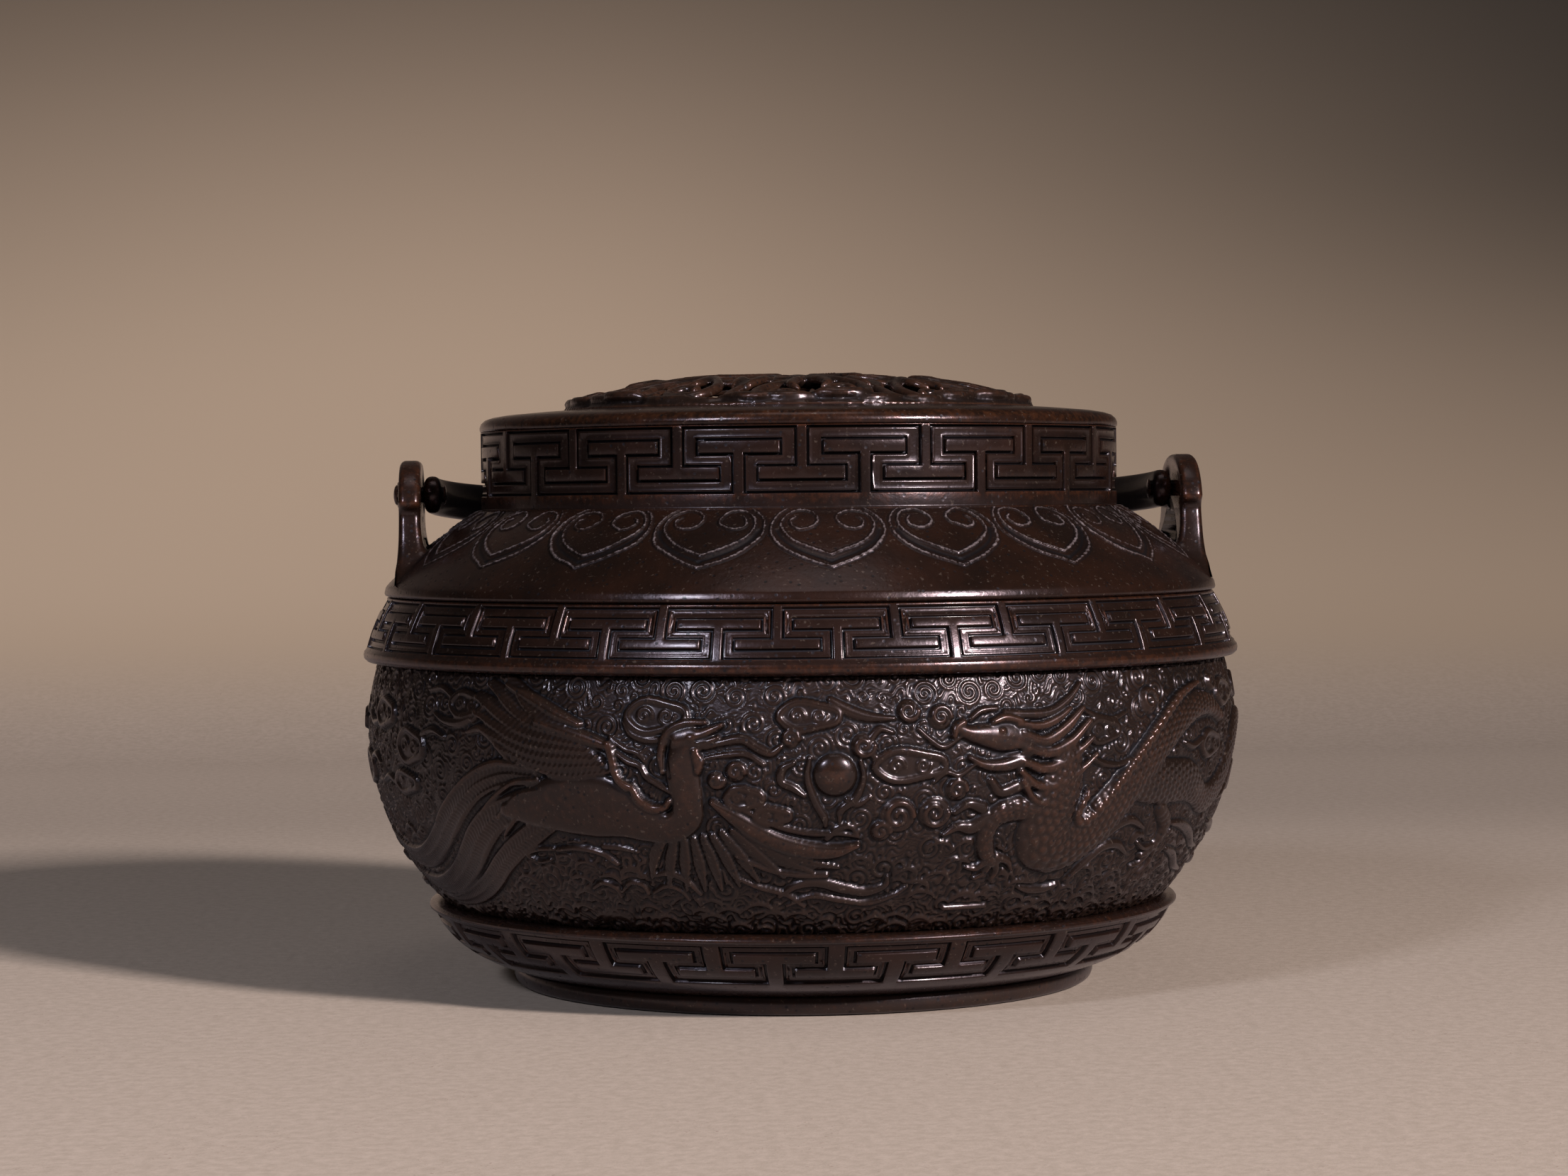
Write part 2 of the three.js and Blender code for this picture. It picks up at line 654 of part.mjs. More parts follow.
// The bail hangs back until its crown lies just over the shoulder.
const crownHalf = BAIL_CROWN_WIDTH / 2;
const crownRest = slopeHeight(bailRadius - BAIL_THICKNESS / 2) + BAIL_REST_GAP + crownHalf;
const bailPivot = new THREE.Group();
bailPivot.position.set(0, 0, pivotZ);
bailPivot.rotation.x = -Math.asin((pivotZ - crownRest) / bailRadius);
handWarmer.add(bailPivot);
addPiece("bail", bail(), bailBronze, bailPivot);

export default handWarmer;
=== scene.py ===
# A round bronze hand warmer: a fire bowl with a relief round its belly, a pierced lid and a swing bail.
# Metres, +Z up, -Y the front. Outlines of the pieces are written in millimetres and turned to metres by MM.
import math

import bmesh
import bpy
import numpy as np
from mathutils import Matrix, Vector


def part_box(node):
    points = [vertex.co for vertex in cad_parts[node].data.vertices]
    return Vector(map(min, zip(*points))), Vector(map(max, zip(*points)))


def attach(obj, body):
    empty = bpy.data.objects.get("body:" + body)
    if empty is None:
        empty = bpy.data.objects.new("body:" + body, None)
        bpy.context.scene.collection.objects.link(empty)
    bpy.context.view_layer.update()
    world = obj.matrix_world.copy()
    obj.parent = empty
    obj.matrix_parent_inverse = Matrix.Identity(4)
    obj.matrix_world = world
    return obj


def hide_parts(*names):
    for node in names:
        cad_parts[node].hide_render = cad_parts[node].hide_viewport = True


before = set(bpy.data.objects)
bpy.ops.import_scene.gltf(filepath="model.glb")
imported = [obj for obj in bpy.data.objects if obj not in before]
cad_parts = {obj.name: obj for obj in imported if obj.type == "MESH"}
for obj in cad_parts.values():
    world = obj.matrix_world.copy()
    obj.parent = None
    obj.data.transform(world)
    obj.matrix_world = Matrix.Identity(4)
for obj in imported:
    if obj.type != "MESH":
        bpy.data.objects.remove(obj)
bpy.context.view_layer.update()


# Foot ring
# A plain ring that the bowl stands on. It is cast with the bowl and turned smooth, and the waxed brown
# patina is rubbed through to a redder bronze where it is handled and wiped.
MM = 0.001
TURN_COLUMNS = 180
FOOT_WIDTH = 4.2
PLAIN_WEAR = 0.35


def colour(code):
    """An sRGB hex colour as linear red, green, blue and alpha."""
    channels = [int(code[i : i + 2], 16) / 255 for i in (1, 3, 5)]
    linear = [c / 12.92 if c <= 0.04045 else ((c + 0.055) / 1.055) ** 2.4 for c in channels]
    return [*linear, 1.0]


def size_of(node):
    """A CAD node's outer radius, foot and head in millimetres, from its box."""
    low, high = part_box(node)
    return high.x / MM, low.z / MM, high.z / MM


def empty_tree(owner):
    """The node tree of a material or world, with nothing in it yet."""
    owner.use_nodes = True
    owner.node_tree.nodes.clear()
    return owner.node_tree


def add_node(tree, kind, settings, output=0):
    """Adds a node and gives one of its outputs. Settings are properties, or sockets with a value or feed."""
    node = tree.nodes.new("ShaderNode" + kind)
    for name, value in settings.items():
        if isinstance(value, bpy.types.NodeSocket):
            tree.links.new(value, node.inputs[name])
        elif isinstance(name, int) or name in node.inputs:
            node.inputs[name].default_value = value
        else:
            setattr(node, name, value)
    return node.outputs[output] if node.outputs else None


def noise(tree, place, size, detail, roughness=0.5):
    """Noise with grains of this size in millimetres."""
    settings = {"Scale": 1 / (size * MM), "Detail": detail, "Roughness": roughness, "Vector": place}
    return add_node(tree, "TexNoise", settings)


def ramp(tree, value, start, end, low=0, high=1, curve="LINEAR"):
    """A value that goes from low to high while another goes from start to end."""
    bounds = {"From Min": start, "From Max": end, "To Min": low, "To Max": high}
    return add_node(tree, "MapRange", {"interpolation_type": curve, **bounds, "Value": value})


def mixed(tree, share, first, second):
    """A colour between two others, which are hex codes or outputs."""
    first, second = (colour(shade) if isinstance(shade, str) else shade for shade in (first, second))
    return add_node(tree, "Mix", {"data_type": "RGBA", 0: share, 6: first, 7: second}, 2)


def maths(tree, operation, *terms, clamp=False):
    """The result of an operation on values or outputs."""
    return add_node(tree, "Math", {"operation": operation, "use_clamp": clamp, **dict(enumerate(terms))})


def patinated_bronze(name, body, cloud, worn_and_sheen, shade_and_grime, roughness, grain):
    """Cast bronze under a brown wax patina: cloudy brown, redder or paler where rubbing bares it, black in the
    recesses.

    The sheen comes from the wax, so the highlights stay nearly white, and fine dust lies all over it. The
    first attribute of a piece says where it stands proud and its patina rubs through; on the lappets the
    pale colour it brings is also a painted highlight. The second says where the colour goes black: grime
    together with painted shade in creases, on sunk ground and on faces turned inward. Grain is the depth of
    the casting's skin in millimetres.
    """
    material = bpy.data.materials.new(name)
    tree = empty_tree(material)
    place = add_node(tree, "TexCoord", {}, "Object")
    wear_and_sheen, shade_and_grime_mark = (add_node(tree, "Attribute", {"attribute_name": mark}, "Fac") for mark in ("wear_and_sheen", "shade_and_grime"))
    clouds = noise(tree, place, 9, 6, 0.62)
    skin = noise(tree, place, 0.9, 4, 0.6)
    dust = noise(tree, place, 0.5, 2)
    cells = add_node(tree, "TexVoronoi", {"Scale": 1 / (1.3 * MM), "Vector": place})
    pit = ramp(tree, cells, 0.06, 0.22, 1, 0)
    brown = mixed(tree, ramp(tree, clouds, 0.38, 0.66), body, cloud)
    # Rubbing bares the redder colour; on the lappets its pale colour is also a painted highlight.
    rubbing_and_sheen = maths(tree, "ADD", wear_and_sheen, maths(tree, "MULTIPLY_ADD", skin, 1.1, -0.55))
    bared_and_sheen = mixed(tree, ramp(tree, rubbing_and_sheen, 0.25, 0.9, curve="SMOOTHSTEP"), brown, worn_and_sheen)
    dusty = mixed(tree, ramp(tree, dust, 0.64, 0.74, 0, 0.45), bared_and_sheen, "#62564f")
    # Painted shade, with grime, and the casting's pits darken the colour to black here.
    dark = maths(tree, "MAXIMUM", shade_and_grime_mark, pit, clamp=True)
    dull = ramp(tree, clouds, 0, 1, roughness - 0.07, roughness + 0.1)
    relief = maths(tree, "MULTIPLY_ADD", pit, -0.6, skin)
    shader = add_node(
        tree,
        "BsdfPrincipled",
        {
            "Base Color": mixed(tree, dark, dusty, shade_and_grime),
            "Metallic": 0.42,
            "Roughness": maths(tree, "MULTIPLY_ADD", dark, 0.25, dull),
            "Specular Tint": colour("#e8e6ff"),
            "Coat Weight": 0.15,
            "Coat Roughness": 0.12,
            "Normal": add_node(tree, "Bump", {"Strength": 1, "Distance": grain * MM, "Height": relief}),
        },
    )
    add_node(tree, "OutputMaterial", {"Surface": shader})
    return material


def from_corner(radius, height, *steps):
    """Outline points, each given as its step out and up in millimetres from one corner."""
    return [(radius + out, height + up) for out, up in steps]


def turned(outline, columns=TURN_COLUMNS):
    """A mesh turned about Z from outline points (radius, height), closed on itself or on the axis."""
    bm = bmesh.new()
    points = [bm.verts.new((radius * MM, 0, height * MM)) for radius, height in outline]
    edges = [bm.edges.new(pair) for pair in zip(points, points[1:])]
    if outline[0][0] > 0:
        edges.append(bm.edges.new((points[-1], points[0])))
    bmesh.ops.spin(
        bm,
        geom=points + edges,
        cent=(0, 0, 0),
        axis=(0, 0, 1),
        angle=2 * math.pi,
        steps=columns,
        use_merge=True,
    )
    bmesh.ops.remove_doubles(bm, verts=bm.verts, dist=1e-7)
    bmesh.ops.recalc_face_normals(bm, faces=bm.faces)
    return bm


def as_piece(name, bm, material, rounding=0.0, segments=2):
    """The mesh as an object with smooth faces, its sharp edges rounded by a bevel given in millimetres."""
    mesh = bpy.data.meshes.new(name)
    bm.to_mesh(mesh)
    bm.free()
    mesh.polygons.foreach_set("use_smooth", [True] * len(mesh.polygons))
    mesh.materials.append(material)
    piece = bpy.data.objects.new(name, mesh)
    bpy.context.scene.collection.objects.link(piece)
    if rounding:
        bevel = piece.modifiers.new("rounding", "BEVEL")
        bevel.width = rounding * MM
        bevel.segments = segments
        bevel.limit_method = "ANGLE"
        bevel.angle_limit = math.radians(28)
    return piece


def rolled(rings, marks=None, ends=True):
    """A closed skin over equal rings of points in millimetres: a grid rolled into a tube, its ends filled.

    Without ends, the last ring is joined to the first. Marks are attributes, with a value for each point.
    """
    rings = np.asarray(rings, float) * MM
    stations, around = rings.shape[:2]
    bm = bmesh.new()
    bmesh.ops.create_grid(bm, x_segments=around, y_segments=stations - bool(ends), size=1)
    place = np.array([vertex.co[:2] for vertex in bm.verts])
    turn = np.rint((place[:, 0] + 1) / 2 * around).astype(int) % around
    step = np.rint((place[:, 1] + 1) / 2 * (stations - bool(ends))).astype(int) % stations
    for vertex, point in zip(bm.verts, rings[step, turn]):
        vertex.co = point
    for name, values in (marks or {}).items():
        layer = bm.verts.layers.float.new(name)
        for vertex, value in zip(bm.verts, values[step, turn]):
            vertex[layer] = value
    bmesh.ops.remove_doubles(bm, verts=bm.verts, dist=1e-7)
    rims = [edge for edge in bm.edges if edge.is_boundary]
    bmesh.ops.holes_fill(bm, edges=rims)
    for edge in rims:
        edge.smooth = False
    bmesh.ops.recalc_face_normals(bm, faces=bm.faces)
    return bm


def applied(piece):
    """The piece with its modifiers worked into its mesh."""
    graph = bpy.context.evaluated_depsgraph_get()
    mesh = bpy.data.meshes.new_from_object(piece.evaluated_get(graph))
    piece.modifiers.clear()
    piece.data = mesh
    return piece


def weathered(piece, floor=0.0, bend=0.22, spread=0):
    """Marks where the surface bends outward, which hands rub, and inward, where the colour is darkened as grime
    together with painted crease shade.

    Bend is the mean turning of the surface round a point, in radians, that counts as full rubbing or full
    darkening, and spread is how many times the marks are evened out. The attributes "sunk" and "plain" of a
    meander add painted shade on its sunk ground and rubbing on its borders.
    """
    mesh = piece.data
    count = len(mesh.vertices)
    place = np.empty(count * 3)
    mesh.vertices.foreach_get("co", place)
    place = place.reshape(-1, 3)
    normal = np.empty(count * 3)
    mesh.vertices.foreach_get("normal", normal)
    normal = normal.reshape(-1, 3)
    ends = np.empty(len(mesh.edges) * 2, int)
    mesh.edges.foreach_get("vertices", ends)
    a, b = ends.reshape(-1, 2).T
    degree = np.bincount(ends, minlength=count).clip(1)
    run = place[b] - place[a]
    turning = ((normal[b] - normal[a]) * run).sum(1) / np.maximum(np.linalg.norm(run, axis=1), 1e-9)
    proud = (np.bincount(a, turning, count) + np.bincount(b, turning, count)) / degree / bend
    for _ in range(spread):
        proud = (proud + (np.bincount(a, proud[b], count) + np.bincount(b, proud[a], count)) / degree) / 2
    sunk, plain = np.zeros((2, count), np.float32)
    if "sunk" in mesh.attributes:
        mesh.attributes["sunk"].data.foreach_get("value", sunk)
        mesh.attributes["plain"].data.foreach_get("value", plain)
    # Rubbing on outward bends and plain borders; grime with painted shade on inward bends, and painted shade on
    # the meander's sunk ground.
    wear_and_sheen = floor + proud + PLAIN_WEAR * plain - sunk
    for name, values in (("wear_and_sheen", wear_and_sheen), ("shade_and_grime", 0.85 * sunk - proud)):
        attribute = mesh.attributes.new(name, "FLOAT", "POINT")
        attribute.data.foreach_set("value", values.clip(0, 1).astype(np.float32))
    return piece


foot_radius, _, foot_top = size_of("foot_ring")
handled_bronze = patinated_bronze("handled_bronze", "#1f1511", "#2b1b15", "#492a1b", "#070505", 0.24, 0.03)
# The foot's bronze is a lighter copy: its paler body and cloud colours are a painted sheen, standing in for
# light that the band's overhang keeps off the foot.
foot_bronze_painted_sheen = patinated_bronze("foot_bronze_painted_sheen", "#2a211f", "#32261f", "#4c2c1c", "#0a0706", 0.3, 0.03)
foot_outline = [
    (foot_radius - FOOT_WIDTH, foot_top),
    *from_corner(foot_radius - FOOT_WIDTH, 0, (0, 0.7), (0.6, 0)),
    *from_corner(foot_radius, 0, (-1.3, 0), (-0.35, 0.35), (0, 1.2), (0, 1.9)),
    (foot_radius - 0.25, foot_top),
]
foot = as_piece("foot_ring_turned", turned(foot_outline), foot_bronze_painted_sheen, rounding=0.3, segments=3)
weathered(applied(foot), bend=0.6)
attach(foot, "vessel")
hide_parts("foot_ring")


# Base plate
# The disc that closes the bottom of the bowl inside the foot ring. It is seen only from below, where the
# cast skin is left rough and nearly black.
plate_radius, plate_foot, plate_head = size_of("base_plate")
plate_dish = [(0, 0.25), (0.6 * plate_radius, 0.1), (plate_radius, 0)]
cast_bronze = patinated_bronze("cast_bronze", "#1a120f", "#221813", "#3a2419", "#0b0706", 0.48, 0.08)
plate_outline = [*from_corner(0, plate_foot, *plate_dish), (plate_radius, plate_head), (0, plate_head)]
plate = as_piece("base_plate_cast", turned(plate_outline), cast_bronze)
weathered(plate)
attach(plate, "vessel")
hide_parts("base_plate")


# Base band
# The flaring wall between the foot and the belly, under a rounded bead. A meander is cast into it: upright
# and hanging T bars level with the wall, and a ribbon that winds between them on a lower level.
HALF_CELLS = 20
STEM_CELLS = 2
RIBBON_CELLS = (3, 6, 14, 17)
BAR_ROUNDING = 0.17


def arc(start, control, end, steps):
    """Points of a quadratic curve from start to end."""
    share = np.linspace(0, 1, steps + 1)[:, None]
    start, control, end = (np.array(p, float) for p in (start, control, end))
    return (1 - share) ** 2 * start + 2 * share * (1 - share) * control + share**2 * end


def along(line, distances):
    """The points at these distances along a line of points."""
    line = np.array(line, float)
    lengths = np.concatenate([[0], np.cumsum(np.hypot(*np.diff(line, axis=0).T))])
    return [tuple(np.interp(d, lengths, line[:, axis]) for axis in (0, 1)) for d in distances]


def is_bar(cell, row):
    """Whether a cell of the meander is part of a T, which hangs at cell 0 and stands upright at cell 20."""
    hanging = (cell < STEM_CELLS and row <= 7) or (row == 7 and cell < 13)
    upright = (cell >= HALF_CELLS - STEM_CELLS and row >= 3) or (row == 3 and cell >= 7)
    return hanging or upright


def is_ribbon(cell, row):
    """Whether a cell is part of the ribbon, which runs over each upright T and under each hanging one."""
    a, b, c, d = RIBBON_CELLS
    over = (row == 1 and cell >= a) or (a <= cell < b and 1 <= row <= 5)
    across = row == 5 and a <= cell < d
    under = (c <= cell < d and 5 <= row <= 9) or (row == 9 and cell < d)
    return over or across or under


def meander(outline, rows, widths, repeats, phase, depths):
    """A turned wall with a meander sunk into it.

    Outline is the wall's section, and rows are the heights of the pattern's 12 row edges from the top
    down, each one a point of the outline. Widths are the shares of half a repeat that its runs of columns
    take round the wall. Depths are how far the ground lies below the wall, how far the ribbon stands over
    the ground, and how deep the line along the ribbon is.
    """
    columns = 2 * HALF_CELLS * repeats
    bm = turned(outline, columns)
    marks = [0, STEM_CELLS, 3, 6, 7, 13, 14, 17, 18, HALF_CELLS]
    share = np.cumsum([0, *widths]) / sum(widths)
    mirrored = [2 * HALF_CELLS - m for m in marks[-2::-1]]
    cells = np.array(marks + mirrored, float)
    turns = np.concatenate([share, 2 - share[-2::-1]]) / 2

    def cell_of(vector):
        return (math.atan2(vector.y, vector.x) % (2 * math.pi)) / (2 * math.pi) * columns

    wall = set()
    border = []
    pocket = []
    ribbon = []
    for face in bm.faces:
        middle = face.calc_center_median()
        height = middle.z / MM
        outside = face.normal.x * middle.x + face.normal.y * middle.y > 0
        if not (outside and rows[-1] < height < rows[0]):
            wall.add(face)
            border.append(face)
            continue
        row = sum(height < edge for edge in rows) - 1
        cell = int(cell_of(middle)) % (2 * HALF_CELLS)
        folded = min(cell, 2 * HALF_CELLS - 1 - cell)
        if is_bar(folded, row):
            wall.add(face)
        else:
            pocket.append(face)
            if is_ribbon(folded, row):
                ribbon.append(face)
    for vertex in bm.verts:
        cell = cell_of(vertex.co)
        whole = math.floor(cell / (2 * HALF_CELLS) + 1e-6)
        part = cell - whole * 2 * HALF_CELLS
        angle = (whole + np.interp(part, cells, turns)) / repeats * 2 * math.pi + phase
        radius = math.hypot(vertex.co.x, vertex.co.y)
        vertex.co.x = radius * math.sin(angle)
        vertex.co.y = -radius * math.cos(angle)
    bmesh.ops.recalc_face_normals(bm, faces=bm.faces)
    ground, rise, step = depths
    for faces, inset, depth in ((pocket, 0.07, -ground), (ribbon, 0.05, rise), (ribbon, 0.26, -step)):
        bmesh.ops.inset_region(
            bm,
            faces=faces,
            thickness=inset * MM,
            depth=depth * MM,
            use_boundary=True,
            use_even_offset=True,
        )
    # The sunk ground is marked for painted shade and the plain borders for rubbing.
    for name, faces in (("sunk", set(pocket) - set(ribbon)), ("plain", border)):
        layer = bm.verts.layers.float.new(name)
        for vertex in {vertex for face in faces for vertex in face.verts}:
            vertex[layer] = 1
    brink = {edge for face in wall for edge in face.edges if not wall.issuperset(edge.link_faces)}
    bmesh.ops.bevel(
        bm,
        geom=[edge for edge in brink if edge.calc_face_angle() > 1],
        offset=BAR_ROUNDING * MM,
        offset_type="OFFSET",
        segments=3,
        profile=0.5,
        affect="EDGES",
        clamp_overlap=True,
        material=-1,
    )
    return bm


base_edge, _, base_top = size_of("base_band")
base_wall = arc(
    (foot_radius - 0.4, foot_top), (base_edge - 3.4, foot_top + 2), (base_edge - 0.5, base_top - 1.1), 60
)
BASE_ROWS = [0.3, 0.75, 0.3, 1.45, 0.3, 0.8, 0.3, 1.45, 0.32, 1.25, 0.35]
BASE_TOP_BORDER = 0.45
BASE_COLUMNS = [1.0, 0.35, 0.9, 0.35, 2.5, 0.35, 0.9, 0.35, 1.0]
BASE_REPEATS = 20
BASE_PHASE = math.radians(1)
BASE_DEPTHS = (0.7, 0.3, 0.07)
base_length = float(np.hypot(*np.diff(base_wall, axis=0).T).sum())
base_rows = along(base_wall, base_length - BASE_TOP_BORDER - np.cumsum([0, *BASE_ROWS]))
base_outline = [
    (foot_radius - FOOT_WIDTH + 2.5, foot_top),
    *along(base_wall, [0, 1.2, 2.4, 3.6, 4.8]),
    *base_rows[::-1],
    *from_corner(base_edge, base_top, (-0.5, -1.1), (0, -0.85), (0.05, -0.6), (-0.1, -0.35), (-0.45, -0.1)),
    *from_corner(base_edge, base_top, (-1.2, 0), (-4.2, 0), (-6, -5)),
]
base_heights = [p[1] for p in base_rows]
base_mesh = meander(base_outline, base_heights, BASE_COLUMNS, BASE_REPEATS, BASE_PHASE, BASE_DEPTHS)
base = as_piece("base_band_cast", base_mesh, handled_bronze, rounding=0.08, segments=1)
weathered(applied(base), floor=-0.25, bend=0.8)
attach(base, "vessel")
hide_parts("base_band")


# Belly
# The bulging wall of the fire bowl, cast by lost wax with a high relief over its whole face: a long-tailed
# bird and a dragon on either side of a flaming pearl, among clouds and above waves. The same two figures
# come again at the back. Each is modelled as strokes of wax laid on the wall, then chased.
BELLY_WALL = 2.0
BELLY_CURVE = 42.9
BELLY_WIDEST = 24.0
BELLY_REFERENCE = 61.0
BELLY_PANELS = 6
BELLY_PANEL_COLUMNS = 400
BELLY_PHASE = math.radians(0.2)
RELIEF_ROWS = 208
RELIEF_SEED = 5
GROUND_SINK = 0.3
SEA_LEVEL = 13.0
WHORL_TRIES = 6000
WHORL_PITCH = 0.72
SEA_PITCH = 1.0
CREST_STROKES = 260
CREST = [(-1.3, -0.35, 0.3), (-0.6, 0.25, 0.8), (0.2, 0.45, 1), (0.95, 0.1, 0.9), (1.1, -0.45, 0.4)]
BEADS = 200
BEAD_HEIGHT = 0.3
BEAD_LINE = 0.55
BELLY_SEAM = 150


def blurred(field, cells):
    """The field smoothed over this many cells each way, round the wall and up it."""
    span = 2 * cells
    weights = np.exp(-((np.arange(-span, span + 1) / cells) ** 2))
    weights /= weights.sum()
    out = sum(w * np.roll(field, s, axis=1) for w, s in zip(weights, range(-span, span + 1)))
    padded = np.pad(out, ((span, span), (0, 0)), mode="edge")
    return sum(w * padded[s : s + len(field)] for w, s in zip(weights, range(2 * span + 1)))


def smooth_line(points, step=0.3):
    """A smooth curve through points, each with any number of values, as closely spaced points."""
    points = np.array(points, float)
    padded = np.vstack([2 * points[0] - points[1], points, 2 * points[-1] - points[-2]])
    line = []
    for a, b, c, d in zip(padded, padded[1:], padded[2:], padded[3:]):
        count = max(2, int(np.hypot(*(c - b)[:2]) / step))
        t = (np.arange(count) / count)[:, None]
        bend = (a - 2.5 * b + 2 * c - d / 2) * t**2 + (1.5 * (b - c) + (d - a) / 2) * t**3
        line.append(b + (c - a) * t / 2 + bend)
    return np.vstack([*line, points[-1:]])


class Relief:
    """A relief as heights in millimetres over a turned wall, on a grid that repeats round it.

    A place on it is (u, v): u round the wall at its reference radius, v up its section, in millimetres.
    """

    def __init__(self, section, radius, repeats, columns, rows):
        lengths = np.concatenate([[0], np.cumsum(np.hypot(*np.diff(section, axis=0).T))])
        stations = np.linspace(0, lengths[-1], rows)
        self.section = np.stack([np.interp(stations, lengths, section[:, axis]) for axis in (0, 1)], axis=1)
        self.repeats = repeats
        self.across = 2 * math.pi * radius / repeats / columns
        self.up = lengths[-1] / (rows - 1)
        self.level = np.zeros((rows, columns))
        self.clear = np.ones((rows, columns))

    def beside(self, line, reach):
        """Where a line of (u, v, half width) passes.

        Gives the window of cells it may touch, each cell's distance to it, signed by side, its half width
        there and the distance gone along it.
        """
        low_u, low_v = line[:, :2].min(0) - reach
        high_u, high_v = line[:, :2].max(0) + reach
        rows = np.arange(max(0, int(low_v / self.up)), min(len(self.level), int(high_v / self.up) + 2))
        cols = np.arange(math.floor(low_u / self.across), math.floor(high_u / self.across) + 2)
        u, v = np.meshgrid(cols * self.across, rows * self.up)
        cell = np.stack([u.ravel(), v.ravel()], axis=1)
        run = np.diff(line[:, :2], axis=0)
        length = np.maximum((run**2).sum(1), 1e-9)
        out = cell[:, None, :] - line[None, :-1, :2]
        t = np.clip((out * run).sum(2) / length, 0, 1)
        off = out - t[..., None] * run
        square = (off**2).sum(2)
        best = square.argmin(1)
        pick = np.arange(len(cell))
        t = t[pick, best]
        side = np.sign(run[best, 0] * off[pick, best, 1] - run[best, 1] * off[pick, best, 0])
        gone = np.concatenate([[0], np.cumsum(np.sqrt(length))])
        half = line[best, 2] * (1 - t) + line[best + 1, 2] * t
        distance = np.sqrt(square[pick, best]) * np.where(side < 0, -1, 1)
        reached = gone[best] + t * np.sqrt(length[best])
        window = np.ix_(rows, cols % self.level.shape[1])
        return window, distance.reshape(u.shape), half.reshape(u.shape), reached.reshape(u.shape)

    def ridge(self, points, rise, flat=2.0, base=0.0, moat=0.0, chased=None):
        """Lays a raised stroke through points (u, v, half width).

        Flat sets how square its section is. A moat clears the ground beside it, and chased is a function
        of the share across and the distance along that cuts a pattern into it.
        """
        line = smooth_line(points)
        window, off, half, gone = self.beside(line, line[:, 2].max() + moat + 0.4)
        if not off.size:
            return
        share = np.abs(off) / np.maximum(half, 1e-3)
        body = base + rise * (1 - np.minimum(share, 1) ** flat) ** (1 / flat)
        if chased is not None:
            body = body + chased(off / np.maximum(half, 1e-3), gone)
        here = self.level[window]
        self.level[window] = np.where(share < 1, np.maximum(here, body), here)
        if moat:
            self.clear[window] = np.minimum(self.clear[window], np.clip((np.abs(off) - half) / moat, 0, 1))

    def groove(self, points, depth):
        """Cuts a line through points (u, v, half width) into what is already modelled."""
        line = smooth_line(points)
        window, off, half, _ = self.beside(line, line[:, 2].max() + 0.3)
        self.level[window] -= depth * (1 - np.minimum(np.abs(off) / half, 1) ** 2) ** 2

    def curl(self, u, v, radius, turns, half, rise, start=0.0, base=0.3):
        """A spiral ridge round (u, v) that winds in to its middle. Negative turns wind the other way."""
        share = np.linspace(0, 1, max(8, int(abs(turns) * 12)) + 1)
        angle = start + turns * share * 2 * math.pi
        reach = radius * (1 - 0.85 * share)
        widths = half * (1 - 0.3 * share)
        spiral = np.stack([u + reach * np.cos(angle), v + reach * np.sin(angle), widths], axis=1)
        self.ridge(spiral, rise, base=base)

    def panels(self, name_of, count, inner, phase, offset, material, wear_and_sheen, shade_and_grime):
        """Closed panels that together make the wall: the relief outside and a plain face inside.

        Inner is the section of the inside from the foot up. The last two fields, laid out like the level, give
        the share of rubbing, which on the lappets also brings a painted highlight, and the share darkened as
        grime together with painted shade.
        """
        level, wear_and_sheen, shade_and_grime = (np.tile(field, self.repeats).T for field in (self.level, wear_and_sheen, shade_and_grime))
        total = len(level)
        steps = total // count
        slope = np.gradient(self.section, axis=0)
        normal = np.stack([slope[:, 1], -slope[:, 0]], axis=1) / np.hypot(*slope.T)[:, None]
        pieces = []
        for index in range(count):
            columns = np.arange(index * steps, (index + 1) * steps + 1) + offset
            outside = self.section + level[columns % total][:, :, None] * normal
            around = np.concatenate([outside, np.tile(inner[::-1], (steps + 1, 1, 1))], axis=1)
            angle = columns[:, None] / total * 2 * math.pi + phase
            radius, height = around[..., 0], around[..., 1]
            rings = np.stack([radius * np.sin(angle), -radius * np.cos(angle), height], axis=2)
            plain = np.zeros((steps + 1, len(inner)))
            marks = {
                name: np.concatenate([field[columns % total].clip(0, 1), plain], axis=1)
                for name, field in (("wear_and_sheen", wear_and_sheen), ("shade_and_grime", shade_and_grime))
            }
            pieces.append(as_piece(f"{name_of}_{index + 1}", rolled(rings, marks), material))
        return pieces


belly_radius, belly_foot, belly_head = size_of("belly_shell")


def belly_section(heights, wall):
    """Points (radius, height) of the belly's outside, or of its inside when given a wall."""
    up = np.array(heights, float)
    bulge = np.sqrt(1 - ((up - belly_foot - BELLY_WIDEST) / (BELLY_CURVE - wall)) ** 2)
    return np.stack([(belly_radius - wall) * bulge, up], axis=1)


bowl = Relief(
    belly_section(np.linspace(belly_foot, belly_head, 600), 0),
    BELLY_REFERENCE,
    2,
    BELLY_PANELS * BELLY_PANEL_COLUMNS // 2,
    RELIEF_ROWS,
)
ridge, groove, curl = bowl.ridge, bowl.groove, bowl.curl


# Tail plumes: three long bands with raised edges and a shaft, sweeping round from the bird's back.
def plume_marks(share, gone):
    """The edges, shaft and barbs of a plume, at a share of its half width and a distance along it."""
    edges = 0.2 * np.exp(-(((np.abs(share) - 0.78) / 0.16) ** 2))
    shaft = 0.14 * np.exp(-((share / 0.13) ** 2))
    barbs = 0.035 * np.sin(2 * math.pi * (gone / 0.75 + np.abs(share) * 1.3))
    return edges + shaft + barbs * (np.abs(share) < 0.7)


